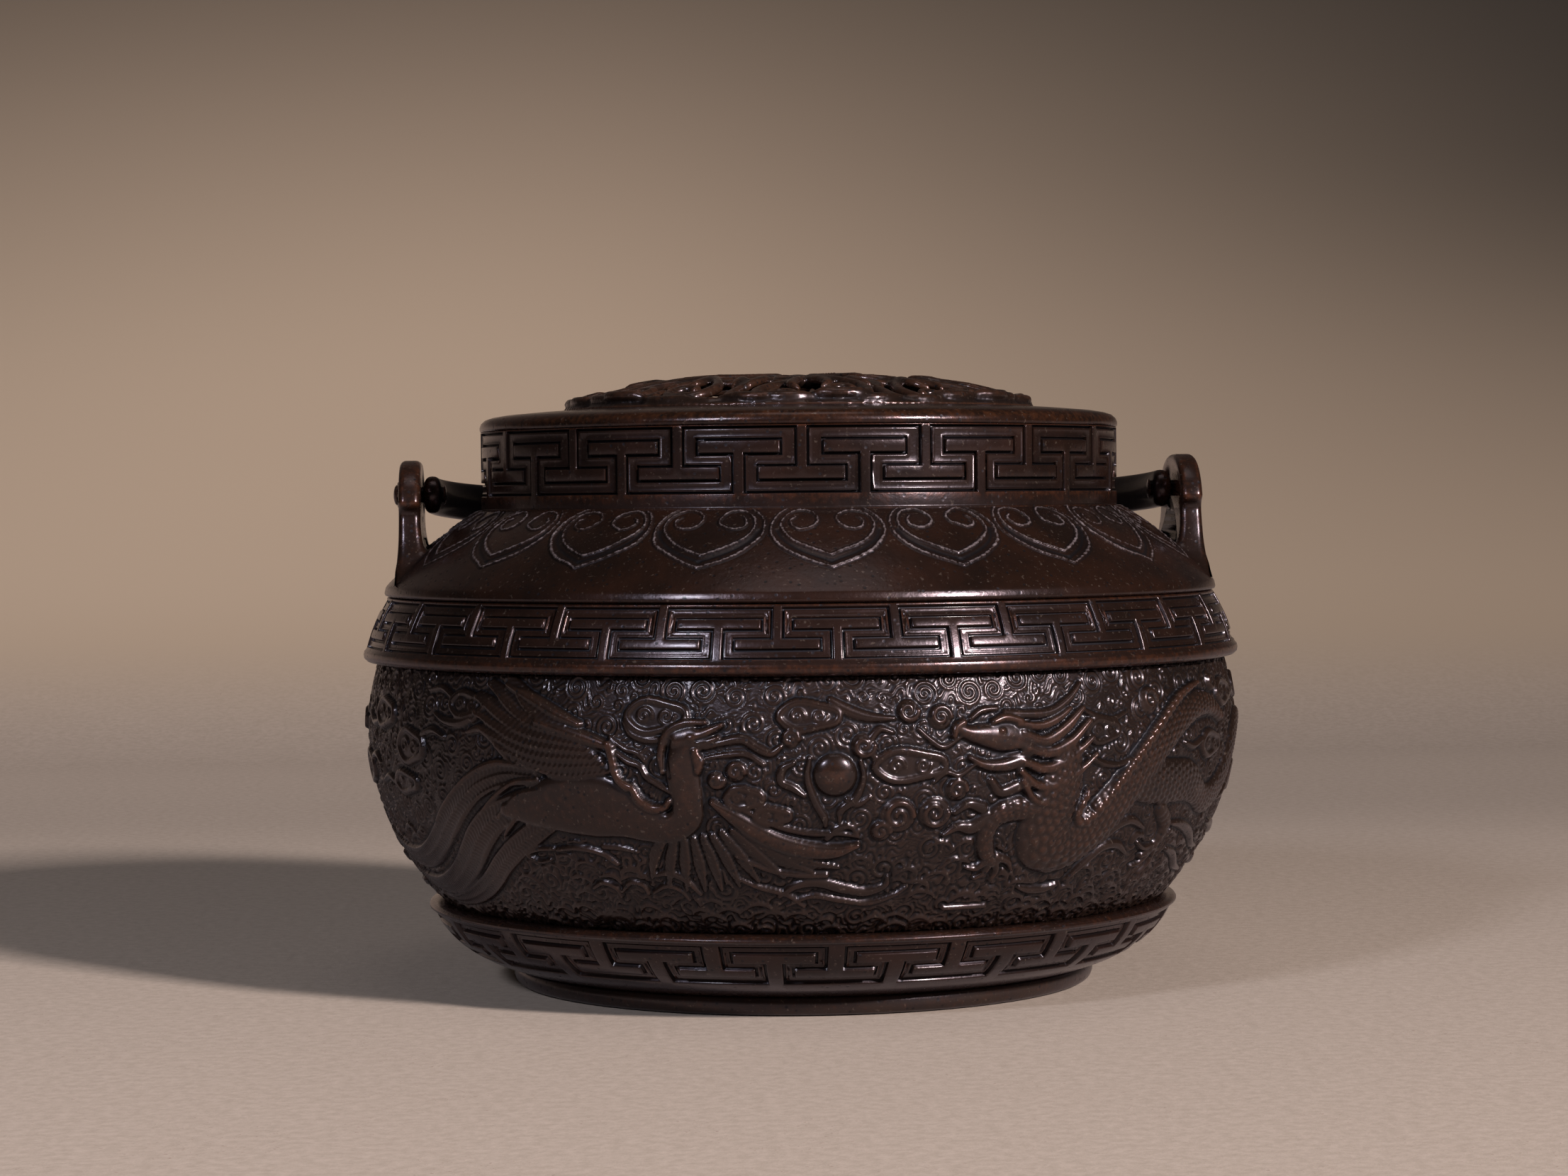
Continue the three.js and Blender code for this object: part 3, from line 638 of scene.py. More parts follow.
PLUMES = [
    [(-37, 18, 1), (-42, 15.6, 1.6), (-46, 13.3, 1.7), (-50, 10.7, 1.7), (-54, 7.9, 1.7),
     (-58, 5.8, 1.6), (-63, 4.1, 1.4), (-69, 3, 1), (-74, 3.3, 0.4)],
    [(-41, 20.5, 1.6), (-45, 18.9, 1.9), (-49, 17.2, 2.2), (-53, 14.4, 2.4), (-57, 11.1, 2.4),
     (-61, 8.5, 2.2), (-66, 6.4, 2), (-72, 5.3, 1.5), (-78, 5.8, 0.9), (-81, 7.2, 0.4)],
    [(-41, 23.2, 1.3), (-46, 23.2, 1.7), (-51, 21.7, 1.9), (-55, 19.3, 2), (-59, 16.3, 2.1),
     (-63, 13.5, 2.1), (-67, 11.4, 2), (-72, 9.9, 1.8), (-77, 9.7, 1.5), (-82, 10.8, 1.1),
     (-86, 13, 0.5)],
]
for plume in PLUMES:
    ridge(plume, 0.5, flat=5, moat=0.5, chased=plume_marks)
for fold in (
    [(-39.5, 21.5, 0.3), (-43, 20.8, 0.45), (-46, 19, 0.4), (-48, 17.4, 0.2)],
    [(-39.5, 20, 0.3), (-42.5, 19, 0.45), (-45.5, 16.8, 0.4), (-47.5, 15, 0.2)],
    [(-40, 22.8, 0.3), (-44, 22.3, 0.4), (-48, 20.2, 0.35), (-51, 18, 0.2)],
    [(-43, 24.6, 0.3), (-47, 24.7, 0.5), (-51, 23.5, 0.45), (-55, 21.3, 0.4), (-59, 18.6, 0.35),
     (-62, 16.2, 0.3)],
):
    ridge(fold, 0.35, base=0.5)

# Body and neck: one smooth swelling form, heavier at the breast.
ridge([(-46, 18.6, 1.2), (-42, 19, 2.6), (-37, 19.7, 4), (-32, 19.7, 4.4), (-28, 18.9, 3.7),
       (-24.5, 17.4, 2.6), (-21.5, 16.9, 2.1), (-19.2, 18.3, 2.1), (-18.9, 20.6, 2.1), (-19.2, 23, 2.2),
       (-19.4, 25.4, 2.1), (-18.9, 27.4, 1.9)], 0.95, flat=2.6, moat=0.9)
# Head, with an open beak, a crest behind it and a ring for the eye.
ridge([(-19.8, 28.2, 1.7), (-18, 28.4, 1.9), (-17, 28.6, 1.4), (-15.8, 29.3, 0.8), (-14.2, 30.1, 0.35)],
      1, moat=0.5)
ridge([(-17.2, 27.5, 0.9), (-16, 28, 0.6), (-14.6, 28.6, 0.3)], 0.85, moat=0.3)
groove([(-17.4, 28.2, 0.25), (-16, 28.6, 0.22), (-14.4, 29.3, 0.2)], 0.35)
ridge([(-18.2, 28.5, 0.42), (-17.9, 28.5, 0.42)], 0.22, base=0.95)
ridge([(-16.3, 30.4, 0.35), (-19, 30.3, 0.5), (-21.2, 29.1, 0.55), (-22.1, 26.6, 0.5),
       (-21.9, 24.2, 0.35)], 0.4, base=0.5, moat=0.4)
groove([(-20.8, 28.2, 0.3), (-21.2, 26, 0.32), (-20.9, 23.6, 0.25)], 0.3)
ridge([(-17.6, 26.8, 0.5), (-17.1, 25.6, 0.7), (-17.2, 24.3, 0.4)], 0.25, base=0.85)


# Near wing: feathers shingled back from two heavy leading edges, over a scalloped row of small ones.
def vane_marks(share, gone):
    """The slope, shaft and barbs of a feather that lies over the next one."""
    shingle = 0.22 * share
    shaft = 0.08 * np.exp(-(((share - 0.1) / 0.12) ** 2))
    barbs = 0.03 * np.sin(2 * math.pi * (gone / 0.8 - share * 0.9))
    return shingle + shaft + barbs


WING_ROOT = np.array([-29.5, 24.6])
for share, tip_u, tip_v, half in (
    (0, -43.5, 25.6, 1.2), (0.16, -46.5, 27.2, 1.3), (0.32, -49, 29.2, 1.4), (0.48, -50.5, 31.2, 1.4),
    (0.64, -50.5, 33.2, 1.4), (0.8, -48.5, 34.9, 1.3), (1, -45, 35.6, 1.2),
):
    start = WING_ROOT + [-6.5 * share, 5.6 * share]
    middle = (start + [tip_u, tip_v]) / 2 + [0, -0.7]
    ridge([(*start, half * 0.7), (*middle, half * 1.1), (tip_u, tip_v, half * 0.5)],
          0.42, flat=5, base=0.22, moat=0.5, chased=vane_marks)
ridge([(-28.8, 27.2, 0.7), (-32, 28.1, 1), (-36, 29.2, 1), (-40, 30.2, 0.6)], 0.95, moat=0.4)
ridge([(-33.6, 30, 0.6), (-37, 31.2, 0.95), (-41, 33, 0.9), (-45.5, 34.8, 0.5)], 0.9, moat=0.4)
ridge([(-29.2, 27.6, 0.5), (-28.6, 25.6, 0.55), (-28.1, 23.6, 0.55), (-26.9, 22.4, 0.6),
       (-26, 22.1, 0.5), (-25.3, 20.7, 0.6), (-23.6, 19.6, 0.6), (-22, 19.7, 0.5), (-21.2, 20.6, 0.4)],
      0.35, base=0.75)
ridge([(-28.5, 26.8, 0.4), (-26.7, 25.5, 0.5), (-25, 24.9, 0.5), (-24.2, 23.6, 0.5), (-22.6, 22.6, 0.5),
       (-20.9, 21.6, 0.4)], 0.65, moat=0.3)
ridge([(-29, 28.4, 0.4), (-27, 27, 0.4), (-25.4, 26.6, 0.4), (-24.4, 25.6, 0.35)], 0.5)
# A curled plume stands off the wing's tips.
ridge([(-52.5, 28.4, 0.3), (-50, 29, 0.7), (-47.5, 27.8, 0.8), (-45.6, 26.2, 0.8), (-44, 24.8, 0.6)],
      0.75, moat=0.3)
ridge([(-52, 30.2, 0.5), (-54.5, 29.6, 0.7), (-57.5, 29.7, 0.6), (-60, 30.6, 0.3)], 0.6, moat=0.3)
ridge([(-48.5, 32.5, 0.4), (-50, 31.4, 0.6), (-51.4, 30, 0.5)], 0.7, moat=0.3)

# Far wing: a thick leading edge low on the right, with feathers that fan out below it.
for start_u, start_v, mid_u, mid_v, tip_u, tip_v, half in (
    (-22.5, 15.6, -24.2, 13, -25.3, 9.8, 0.85), (-21.2, 15.4, -22.2, 12, -23, 8.6, 0.85),
    (-19.9, 15.2, -20.2, 11.8, -20.6, 8, 0.85), (-18.6, 15.3, -18.2, 11.8, -18, 7.8, 0.85),
    (-17.3, 15.5, -16.3, 12, -15.6, 8, 0.85), (-16, 15.8, -14.3, 12.3, -13, 8.6, 0.85),
    (-14.7, 16.2, -12.3, 12.6, -10.4, 9.4, 0.9), (-13.2, 16.4, -10, 12.8, -6.8, 9.9, 0.95),
    (-11.6, 16, -7.5, 12.6, -3, 10.6, 0.95), (-9.5, 15, -5, 12.3, 0.5, 11.3, 0.95),
):
    ridge([(start_u, start_v, half * 0.7), (mid_u, mid_v, half), (tip_u, tip_v, half * 0.45)],
          0.3, flat=5, base=0.2, moat=0.35, chased=vane_marks)
ridge([(-15.6, 20.4, 0.5), (-13, 18.5, 1.1), (-10, 16.4, 1.35), (-7, 14.9, 1.35), (-3.5, 13.9, 1.3),
       (0, 13.7, 1.1), (3, 14.6, 0.5)], 1, moat=0.5)
ridge([(-13.5, 20.3, 0.3), (-10.5, 18.8, 0.5), (-7, 17.1, 0.55), (-3, 16.2, 0.5), (1, 16.1, 0.4),
       (3.4, 15.6, 0.3)], 0.6, moat=0.25)
ridge([(-1, 15.4, 0.4), (0.5, 16.9, 0.6), (2.2, 17, 0.5), (3, 15.8, 0.4)], 0.6)
ridge([(-26.6, 13.4, 0.3), (-29, 13.9, 0.5), (-31.5, 14, 0.5)], 0.5, moat=0.2)

# Pearl with its flames.
ridge([(-0.05, 23.8, 2.75), (0.05, 23.8, 2.75)], 1.15, moat=0.8)
ridge([(-3.2, 26, 0.35), (-3.5, 23.5, 0.5), (-2.6, 20.6, 0.6), (-1.4, 18.4, 0.6), (-1.2, 17.2, 0.3)],
      0.6, moat=0.2)
ridge([(3.2, 25.6, 0.3), (3.6, 23.4, 0.45), (2.6, 20.8, 0.6), (0.8, 19.3, 0.6), (0.6, 17.8, 0.3)],
      0.6, moat=0.2)
ridge([(1.6, 20.6, 0.5), (2.9, 20, 0.5), (4.4, 20.9, 0.3)], 0.5)
ridge([(-5.2, 25.4, 0.4), (-6.6, 24.6, 0.6), (-6.8, 23, 0.6), (-5.3, 22.2, 0.6), (-3.9, 21.2, 0.4)],
      0.6, moat=0.3)

# Ribbon scroll in front of the bird's beak.
ridge([(-16.4, 27.2, 0.3), (-14, 28, 0.6), (-11.5, 28.3, 0.7), (-9.6, 27.2, 0.7), (-8, 26.6, 0.6),
       (-6.8, 27.4, 0.4)], 0.7, moat=0.3)
ridge([(-16.2, 26, 0.3), (-13.5, 26.4, 0.45), (-11, 26.4, 0.45), (-9, 25.2, 0.4)], 0.5, moat=0.2)


# Dragon: a scaled body that comes down from the mane, turns under and climbs away to the right.
def scale_marks(share, gone):
    """Rows of round scales, each row half a scale out of step with the last."""
    row = gone / 1.05
    side = share * 3.1 + 0.5 * (np.floor(row) % 2)
    away = ((row % 1) - 0.35) ** 2 * 1.2 + ((side % 1) - 0.5) ** 2 * 1.8
    return 0.17 * np.clip(1 - away * 3.2, 0, 1) - 0.05


ridge([(60.5, 19, 1.6), (66, 17.3, 2.2), (71, 19, 2.4), (75, 23, 2.2), (79, 26.4, 1.8), (84, 27.8, 1.3),
       (88, 26.6, 0.7), (90, 24.8, 0.3)], 0.85, flat=2.4, moat=0.6, chased=scale_marks)
ridge([(43.5, 21.8, 2.2), (48, 20.9, 3), (53, 20.6, 3.1), (58, 20.3, 2.8), (62, 18.6, 2)],
      0.8, flat=2.4, moat=0.6, chased=scale_marks)
ridge([(32, 25.5, 2.3), (31.4, 22, 3.4), (30.2, 18, 4.2), (30.3, 14.5, 4.8), (33, 13, 4),
       (37, 14.6, 3.5), (41, 18.3, 3.2), (45, 22.3, 2.9), (49.5, 26, 2.6), (54, 28.8, 2.4),
       (59, 30.4, 2), (64, 30.3, 1.5), (68, 28.5, 0.8)], 1, flat=2.5, moat=0.8, chased=scale_marks)


# Fin along the back: a row of spines.
def spine_marks(share, gone):
    """One spine after another along the fin."""
    return 0.22 * np.clip(1 - np.abs((gone / 1.25) % 1 - 0.5) * 2.4, 0, 1)


ridge([(35.6, 20.5, 0.5), (34.3, 17.6, 0.6), (35.6, 16.4, 0.6), (38.5, 18.6, 0.65), (42, 22.3, 0.65),
       (46, 26, 0.65), (50.5, 29.5, 0.6), (55, 32, 0.55), (60, 33.3, 0.4)],
      0.3, base=0.75, moat=0.2, chased=spine_marks)
groove([(36.9, 17.8, 0.4), (36, 20, 0.7), (36.4, 23.4, 0.6)], 0.35)

# Forelegs with their claws.
ridge([(27, 18.4, 1.6), (24, 18.6, 1.7), (21.6, 17.6, 1.5), (20.6, 15.4, 1.35), (21, 13, 1.3),
       (22.2, 11.4, 1)], 0.95, moat=0.5, chased=scale_marks)
for claw in (
    [(21.6, 11.8, 0.8), (20, 10.6, 0.6), (18.4, 10.8, 0.3)],
    [(22, 11.5, 0.8), (21.4, 9.9, 0.6), (20, 9, 0.3)],
    [(22.6, 11.6, 0.8), (23.2, 10, 0.6), (22.6, 8.6, 0.3)],
    [(22.8, 12, 0.8), (24.6, 11.4, 0.6), (25.6, 10, 0.3)],
):
    ridge(claw, 0.8, moat=0.3)
ridge([(20.6, 17.6, 1.2), (18.4, 16.4, 1), (16.4, 16.6, 0.7), (14.4, 15.6, 0.3)], 0.75, moat=0.3)
ridge([(19.6, 19, 0.9), (17.6, 19.6, 0.7), (15.8, 18.6, 0.5)], 0.7, moat=0.3)
ridge([(24.4, 21.6, 0.9), (22, 21, 0.8), (20.5, 22.6, 0.6)], 0.7, moat=0.3)
ridge([(52, 17, 1.2), (54.4, 14.6, 1.3), (53.6, 11.8, 1), (51, 10.2, 0.6)],
      0.85, moat=0.4, chased=scale_marks)
for claw in (
    [(53, 11.6, 0.7), (50.6, 11.4, 0.5), (48.6, 12.4, 0.25)],
    [(53.2, 11.2, 0.7), (51.6, 9.2, 0.5), (49.6, 8.6, 0.25)],
    [(54, 11.2, 0.7), (54, 8.8, 0.5), (52.6, 7.2, 0.25)],
):
    ridge(claw, 0.75, moat=0.3)

# Head: brow, open jaws, nose, horn, whiskers and a mane that streams back to the right.
ridge([(25.6, 27, 2), (22.8, 27.8, 2.2), (20, 28.2, 1.7), (17.6, 28.6, 1.1), (16, 29.2, 0.8)], 1, moat=0.5)
ridge([(24.8, 24.9, 1.1), (22, 24.4, 0.9), (19.4, 24.6, 0.7), (17.4, 25.6, 0.4)], 0.9, moat=0.4)
groove([(24.4, 26.2, 0.35), (21.5, 26, 0.45), (18.8, 26.8, 0.4), (16.8, 27.4, 0.3)], 0.7)
ridge([(16.6, 30, 0.6), (15.6, 29.4, 0.7), (15.3, 28.4, 0.5)], 1.05)
ridge([(20.6, 29.9, 0.5), (22.4, 30.4, 0.7), (24.6, 29.9, 0.6)], 1.15)
ridge([(21.6, 28.8, 0.5), (21.9, 28.8, 0.5)], 1.2)
ridge([(17.6, 30.4, 0.4), (19.2, 31.4, 0.5), (21.4, 31.6, 0.4)], 0.7, moat=0.2)
ridge([(22.6, 31, 0.6), (26, 30.7, 0.7), (29.4, 30.9, 0.7), (32.4, 32.4, 0.6), (34.6, 34.4, 0.35)],
      0.8, moat=0.3)
for lock in (
    [(24.8, 28.4, 0.6), (28, 27.3, 0.75), (31.2, 28.6, 0.75), (34.4, 31.2, 0.4)],
    [(25.4, 26.6, 0.6), (28.6, 25.8, 0.75), (32, 26.8, 0.7), (35.4, 29.6, 0.4)],
    [(25, 24.8, 0.6), (28, 23.8, 0.7), (31.6, 24.6, 0.7), (35.8, 27.4, 0.4)],
    [(24.2, 29.6, 0.5), (27.4, 29.2, 0.6), (30, 29.9, 0.6), (32.4, 31.3, 0.3)],
    [(24.6, 23.6, 0.5), (27, 21.8, 0.6), (30, 21.6, 0.6), (33.6, 23.2, 0.5), (36.5, 25.3, 0.3)],
    [(25, 22.4, 0.5), (26.8, 20, 0.5), (29.8, 19.2, 0.5), (33, 20.4, 0.3)],
):
    ridge(lock, 0.45, base=0.6, moat=0.2)
ridge([(16.2, 28.2, 0.3), (14, 27, 0.45), (12.4, 27.8, 0.45), (10.6, 29.4, 0.3)], 0.6, moat=0.2)
ridge([(18, 24.6, 0.3), (16, 23.4, 0.45), (14.4, 23.8, 0.4), (12.6, 22.6, 0.3)], 0.6, moat=0.2)
ridge([(34.5, 31, 0.4), (37, 30, 0.5), (40, 29.6, 0.4), (42.6, 30.4, 0.3)], 0.6, moat=0.2)
ridge([(35, 25.3, 0.4), (38, 23.9, 0.55), (41, 23.6, 0.5), (43.4, 24.3, 0.3)], 0.6, moat=0.2)


# Clouds: a raised lozenge with a rolled edge, curls inside it and a tail that drifts off.
def cloud(u, v, wide, high, tail=()):
    """A cloud of this half width and half height round (u, v), with a tail through points."""
    turn = np.linspace(0, 2 * math.pi, 25)
    lobes = [0.86 + 0.14 * math.cos(3 * a) for a in turn]
    edge = [(u + wide * math.cos(a), v + high * math.sin(a) * lobe, 0.5) for a, lobe in zip(turn, lobes)]
    ridge([(u - wide * 0.45, v, high * 0.9), (u + wide * 0.45, v, high * 0.9)], 0.35, flat=6, moat=0.5)
    ridge(edge, 0.3, base=0.35, moat=0.5)
    curl(u - wide * 0.4, v, high * 0.5, 1.3, 0.3, 0.3)
    curl(u + wide * 0.35, v, high * 0.5, -1.4, 0.3, 0.3)
    if tail:
        ridge(tail, 0.6, moat=0.4)


cloud(-3.2, 31.2, 3.8, 1.9, [(-0.5, 33.2, 0.5), (1.6, 31.9, 0.8), (4.2, 31, 0.7), (7.6, 30.7, 0.3)])
cloud(-22.8, 31.2, 4, 2.2, [(-27, 30.4, 0.5), (-26, 28.9, 0.6), (-23.6, 28.2, 0.6), (-21, 28.5, 0.3)])
cloud(9.6, 24.8, 4.6, 2.1, [(5.2, 25.6, 0.5), (4.3, 27.6, 0.6), (5.6, 29.4, 0.5), (7.4, 29, 0.3)])
cloud(-11.5, 20.9, 2.3, 1.4)
cloud(-8, 18.6, 2.2, 1.1)
cloud(-53, 32, 3.4, 1.7, [(-56.4, 33, 0.5), (-59, 34, 0.5), (-62, 33.6, 0.3)])
cloud(-66.5, 26, 3.6, 2.4, [(-63, 27.8, 0.5), (-60.4, 28.4, 0.6), (-57.6, 27.6, 0.3)])
cloud(-69, 21, 3.4, 1.5, [(-72.4, 20.6, 0.6), (-75.6, 21.4, 0.6), (-78.6, 20.6, 0.3)])
cloud(-76, 30, 3.6, 2, [(-79.4, 28.6, 0.5), (-82.4, 28.4, 0.6), (-85, 29.8, 0.3)])
cloud(-88, 22, 3.6, 2.3, [(-84.4, 23.6, 0.5), (-81.6, 24, 0.6), (-79, 23, 0.3)])
cloud(38, 28.2, 2.8, 1.6)
cloud(64.5, 25, 3.2, 1.7, [(61.4, 25.8, 0.4), (58.6, 25, 0.5), (56, 25.6, 0.3)])
cloud(72, 31.6, 3.6, 1.7, [(75.6, 30.8, 0.5), (78.4, 31.4, 0.5), (81, 30.6, 0.3)])
cloud(86, 32, 3.2, 1.6)
cloud(82, 19.6, 3.6, 2, [(78.6, 18.2, 0.5), (76, 17, 0.5), (73.6, 16.8, 0.3)])
for u, v, radius, turns in (
    (8.2, 18.4, 2.3, 1.5), (13, 18.6, 2.1, -1.5), (6, 16.4, 1.4, 1.2), (15.8, 21.6, 1.5, 1.3),
    (3.6, 27.4, 1.6, -1.3), (-5.6, 28.4, 1.2, 1.2), (13.6, 30.8, 1.6, 1.3), (9.4, 31.6, 1.5, -1.3),
    (-12.5, 24.3, 1.3, 1.2), (-15, 23.2, 1.1, -1.2), (47.5, 31.6, 1.8, 1.3), (66, 33.4, 1.4, -1.2),
    (92, 28, 2, 1.4), (-94, 28.6, 2, -1.4),
):
    ridge([(u - 0.05, v, radius), (u + 0.05, v, radius)], 0.45, flat=4, moat=0.4)
    curl(u, v, radius * 0.86, turns, 0.45, 0.4, base=0.4)

# Waves below: long crests that roll over, and a straight bar between them.
for crest in (
    [(-7.5, 6.9, 0.4), (-5, 8.6, 0.7), (-2, 9, 0.85), (1.4, 8, 0.9), (4.6, 7.4, 0.8), (7.2, 8.4, 0.6),
     (7.4, 9.8, 0.35)],
    [(-6.5, 5.4, 0.3), (-3, 6.9, 0.5), (1, 6.2, 0.6), (5, 5.6, 0.55), (8.6, 6.8, 0.4), (10.4, 8.2, 0.25)],
    [(-13, 13.2, 0.3), (-9, 11.2, 0.5), (-5, 10.3, 0.55), (-1, 10.2, 0.5)],
    [(-13.5, 10, 0.3), (-10, 8.3, 0.5), (-6.5, 7.2, 0.5), (-4, 5.2, 0.35)],
    [(-39.5, 13.4, 0.3), (-42.5, 13.2, 0.5), (-44.5, 12.3, 0.4), (-42.6, 11.4, 0.35), (-40.6, 11.7, 0.25)],
    [(-39, 13.3, 0.35), (-35.5, 13.7, 0.5), (-32, 13.1, 0.5), (-30, 11.6, 0.4)],
    [(-35, 7.6, 0.3), (-33, 8.6, 0.5), (-31.2, 7.8, 0.5), (-30.8, 6.4, 0.3)],
    [(-30.4, 7.3, 0.3), (-28.6, 8.8, 0.5), (-26.8, 8.4, 0.45), (-26.4, 7, 0.3)],
    [(-24.6, 10.1, 0.4), (-22.4, 10.4, 0.6), (-20.2, 9.2, 0.55), (-18.6, 7.2, 0.4)],
    [(-25.5, 7.3, 0.3), (-23.4, 8.4, 0.5), (-21.4, 7.8, 0.45), (-20.4, 6.2, 0.3)],
    [(16.6, 4.2, 0.42), (20, 4.2, 0.42), (23.4, 4.2, 0.42)],
    [(28, 7, 0.4), (30, 6.4, 0.7), (32.6, 6.3, 0.7), (34.6, 7, 0.4)],
    [(36, 7.6, 0.4), (38.4, 10, 0.7), (41, 12.2, 0.8), (44, 12.4, 0.7), (46.6, 11, 0.4)],
    [(40.4, 13.3, 0.4), (42.4, 15, 0.7), (45.4, 15.8, 0.7), (48.6, 14.6, 0.4)],
    [(56, 14.6, 0.4), (60, 14, 0.7), (64.4, 12.6, 0.8), (68.6, 10.4, 0.6), (72, 9.8, 0.3)],
    [(58, 10.6, 0.4), (62, 9.4, 0.7), (66, 7.2, 0.7), (70, 6.2, 0.4)],
    [(73, 13.4, 0.4), (77, 12.8, 0.8), (81.4, 11.4, 0.8), (86, 11.6, 0.5)],
    [(76, 8, 0.4), (80, 6.6, 0.7), (84.6, 6.2, 0.7), (89, 7.4, 0.4)],
    [(-90, 9, 0.4), (-93, 7.6, 0.7), (-97, 7.8, 0.7), (-100, 9.4, 0.4)],
    [(-84, 5, 0.4), (-87.4, 3.9, 0.6), (-91, 4.4, 0.4)],
):
    ridge(crest, 0.7, moat=0.4)

# Ground between the figures: currents that run all over it, and close whorls set among them. Both are finer
# in the sky than in the sea.
figures = bowl.level
chance = np.random.default_rng(RELIEF_SEED)
half_girth = bowl.across * figures.shape[1]
belly_top = bowl.up * (RELIEF_ROWS - 1)
once = 2 * math.pi / half_girth
u_mesh, v_mesh = np.meshgrid(np.arange(figures.shape[1]) * bowl.across, np.arange(RELIEF_ROWS) * bowl.up)
sea = np.clip((SEA_LEVEL + 1.5 * np.sin(7 * once * u_mesh) - v_mesh) / 3, 0, 1)
drift = v_mesh.copy()
for swing, waves, climb in ((0.9, 11, 1.9), (0.7, 23, -1.3), (0.35, 61, 0.9), (0.3, 83, -0.6)):
    drift += swing * np.sin(waves * once * u_mesh + v_mesh / climb)
pitch = WHORL_PITCH + (SEA_PITCH - WHORL_PITCH) * (sea > 0.5)
bowl.level = 0.26 * (0.5 + 0.5 * np.cos(2 * math.pi * drift / pitch)) * (1 + 0.3 * sea)


def whorl(u, v, radius, pitch, hand, start, rise):
    """A spiral that fills a disc of the ground, wound to the left or right."""
    rows = np.arange(max(0, int((v - radius) / bowl.up)), min(RELIEF_ROWS, int((v + radius) / bowl.up) + 2))
    cols = np.arange(math.floor((u - radius) / bowl.across), math.floor((u + radius) / bowl.across) + 2)
    du, dv = np.meshgrid(cols * bowl.across - u, rows * bowl.up - v)
    reach = np.hypot(du, dv)
    arm = (radius - reach + hand * pitch * (np.arctan2(dv, du) + start) / (2 * math.pi)) / pitch
    line = rise * (0.5 + 0.5 * np.cos(2 * math.pi * (arm - 0.3))) ** 0.8
    window = np.ix_(rows, cols % figures.shape[1])
    inside = np.clip((radius - reach) / 0.15, 0, 1)
    bowl.level[window] = bowl.level[window] * (1 - inside) + line * inside


placed = np.zeros((0, 3))
for i in range(WHORL_TRIES):
    radius = 1.9 - 1.2 * min(1, i / WHORL_TRIES * 1.6)
    u, v = chance.uniform(0, half_girth), chance.uniform(0.6, belly_top)
    apart = np.abs(placed[:, 0] - u)
    near_by = np.hypot(np.minimum(apart, half_girth - apart), placed[:, 1] - v) < placed[:, 2] + radius * 0.92
    column = int(u / bowl.across) % figures.shape[1]
    row = min(RELIEF_ROWS - 1, int(v / bowl.up))
    if near_by.any() or figures[row, column] > 0.1 or (v < SEA_LEVEL and chance.random() < 0.55):
        continue
    placed = np.vstack([placed, (u, v, radius)])
    pitch = SEA_PITCH if v < SEA_LEVEL else WHORL_PITCH
    hand, start = chance.choice([-1, 1]), chance.uniform(0, 2 * math.pi)
    whorl(u, v, radius, pitch, hand, start, chance.uniform(0.3, 0.42))
for _ in range(CREST_STROKES):
    u, v = chance.uniform(0, half_girth), chance.uniform(0.8, SEA_LEVEL + 1)
    size = chance.uniform(1.0, 2.0)
    lean = chance.choice([-1, 1])
    half = chance.uniform(0.28, 0.45)
    crest = [(u + lean * size * x, v + size * y, half * w) for x, y, w in CREST]
    ridge(crest, chance.uniform(0.15, 0.25), base=0.3)

ground = bowl.level * (0.25 + 0.75 * bowl.clear) - 0.16 * (1 - bowl.clear)
bead_rows = np.exp(-(((v_mesh - BEAD_LINE) / 0.3) ** 2))
beads = BEAD_HEIGHT * np.clip(np.cos(2 * math.pi * u_mesh / half_girth * BEADS), 0, 1) * bead_rows
bowl.level = np.maximum.reduce([figures, ground, beads])
bowl.level = 0.4 * bowl.level + 0.6 * blurred(bowl.level, 1)
near = blurred(bowl.level, 3)
proud = (bowl.level - near) / 0.16
# Rubbing on the proud and high forms; darkening on inward bends and low ground as grime with painted shade.
belly_wear = 0.25 * proud.clip(0, 1) + 0.5 * ((bowl.level - 0.5) / 0.6).clip(0, 1)
belly_shade_and_grime = (-proud * 0.9).clip(0, 1) + 0.4 * (1 - bowl.level / 0.2).clip(0, 1)
bowl.level = bowl.level - GROUND_SINK
relief_bronze = patinated_bronze("relief_bronze", "#231a16", "#2b1e18", "#402a20", "#060505", 0.25, 0.02)
inside = belly_section(np.linspace(belly_foot, belly_head, 9), BELLY_WALL)
for panel in bowl.panels(
    "belly_relief", BELLY_PANELS, inside, BELLY_PHASE, BELLY_SEAM, relief_bronze, belly_wear, belly_shade_and_grime
):
    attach(panel, "vessel")
    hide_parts("belly_shell")


# Collar band
# The band that leans in over the belly from a heavy bead. Its meander is finer than the base band's, and
# its bars are ridges with rounded tops.
collar_edge, collar_foot, collar_head = size_of("collar_band")
COLLAR_LEAN = 3.3
COLLAR_ROWS = [0.3, 1.15, 0.3, 1.25, 0.33, 0.8, 0.33, 1.2, 0.36, 0.8, 0.25]
COLLAR_TOP_BORDER = 0.25
COLLAR_COLUMNS = [0.55, 0.3, 0.9, 0.3, 3.0, 0.33, 0.95, 0.33, 0.55]
COLLAR_REPEATS = 25
COLLAR_PHASE = math.radians(-6.5)
COLLAR_DEPTHS = (0.6, 0.36, 0.1)
COLLAR_BEAD = [(-3.9, 0), (-1.5, 0.05), (-0.5, 0.25), (-0.08, 0.65), (0, 1.1), (-0.1, 1.55), (-0.4, 1.9)]
collar_wall = arc(
    (collar_edge - 0.5, collar_foot + 2.2),
    (collar_edge - COLLAR_LEAN * 0.42, collar_foot + 5.6),
    (collar_edge - COLLAR_LEAN - 0.1, collar_head - 0.15),
    40,
)
collar_length = float(np.hypot(*np.diff(collar_wall, axis=0).T).sum())
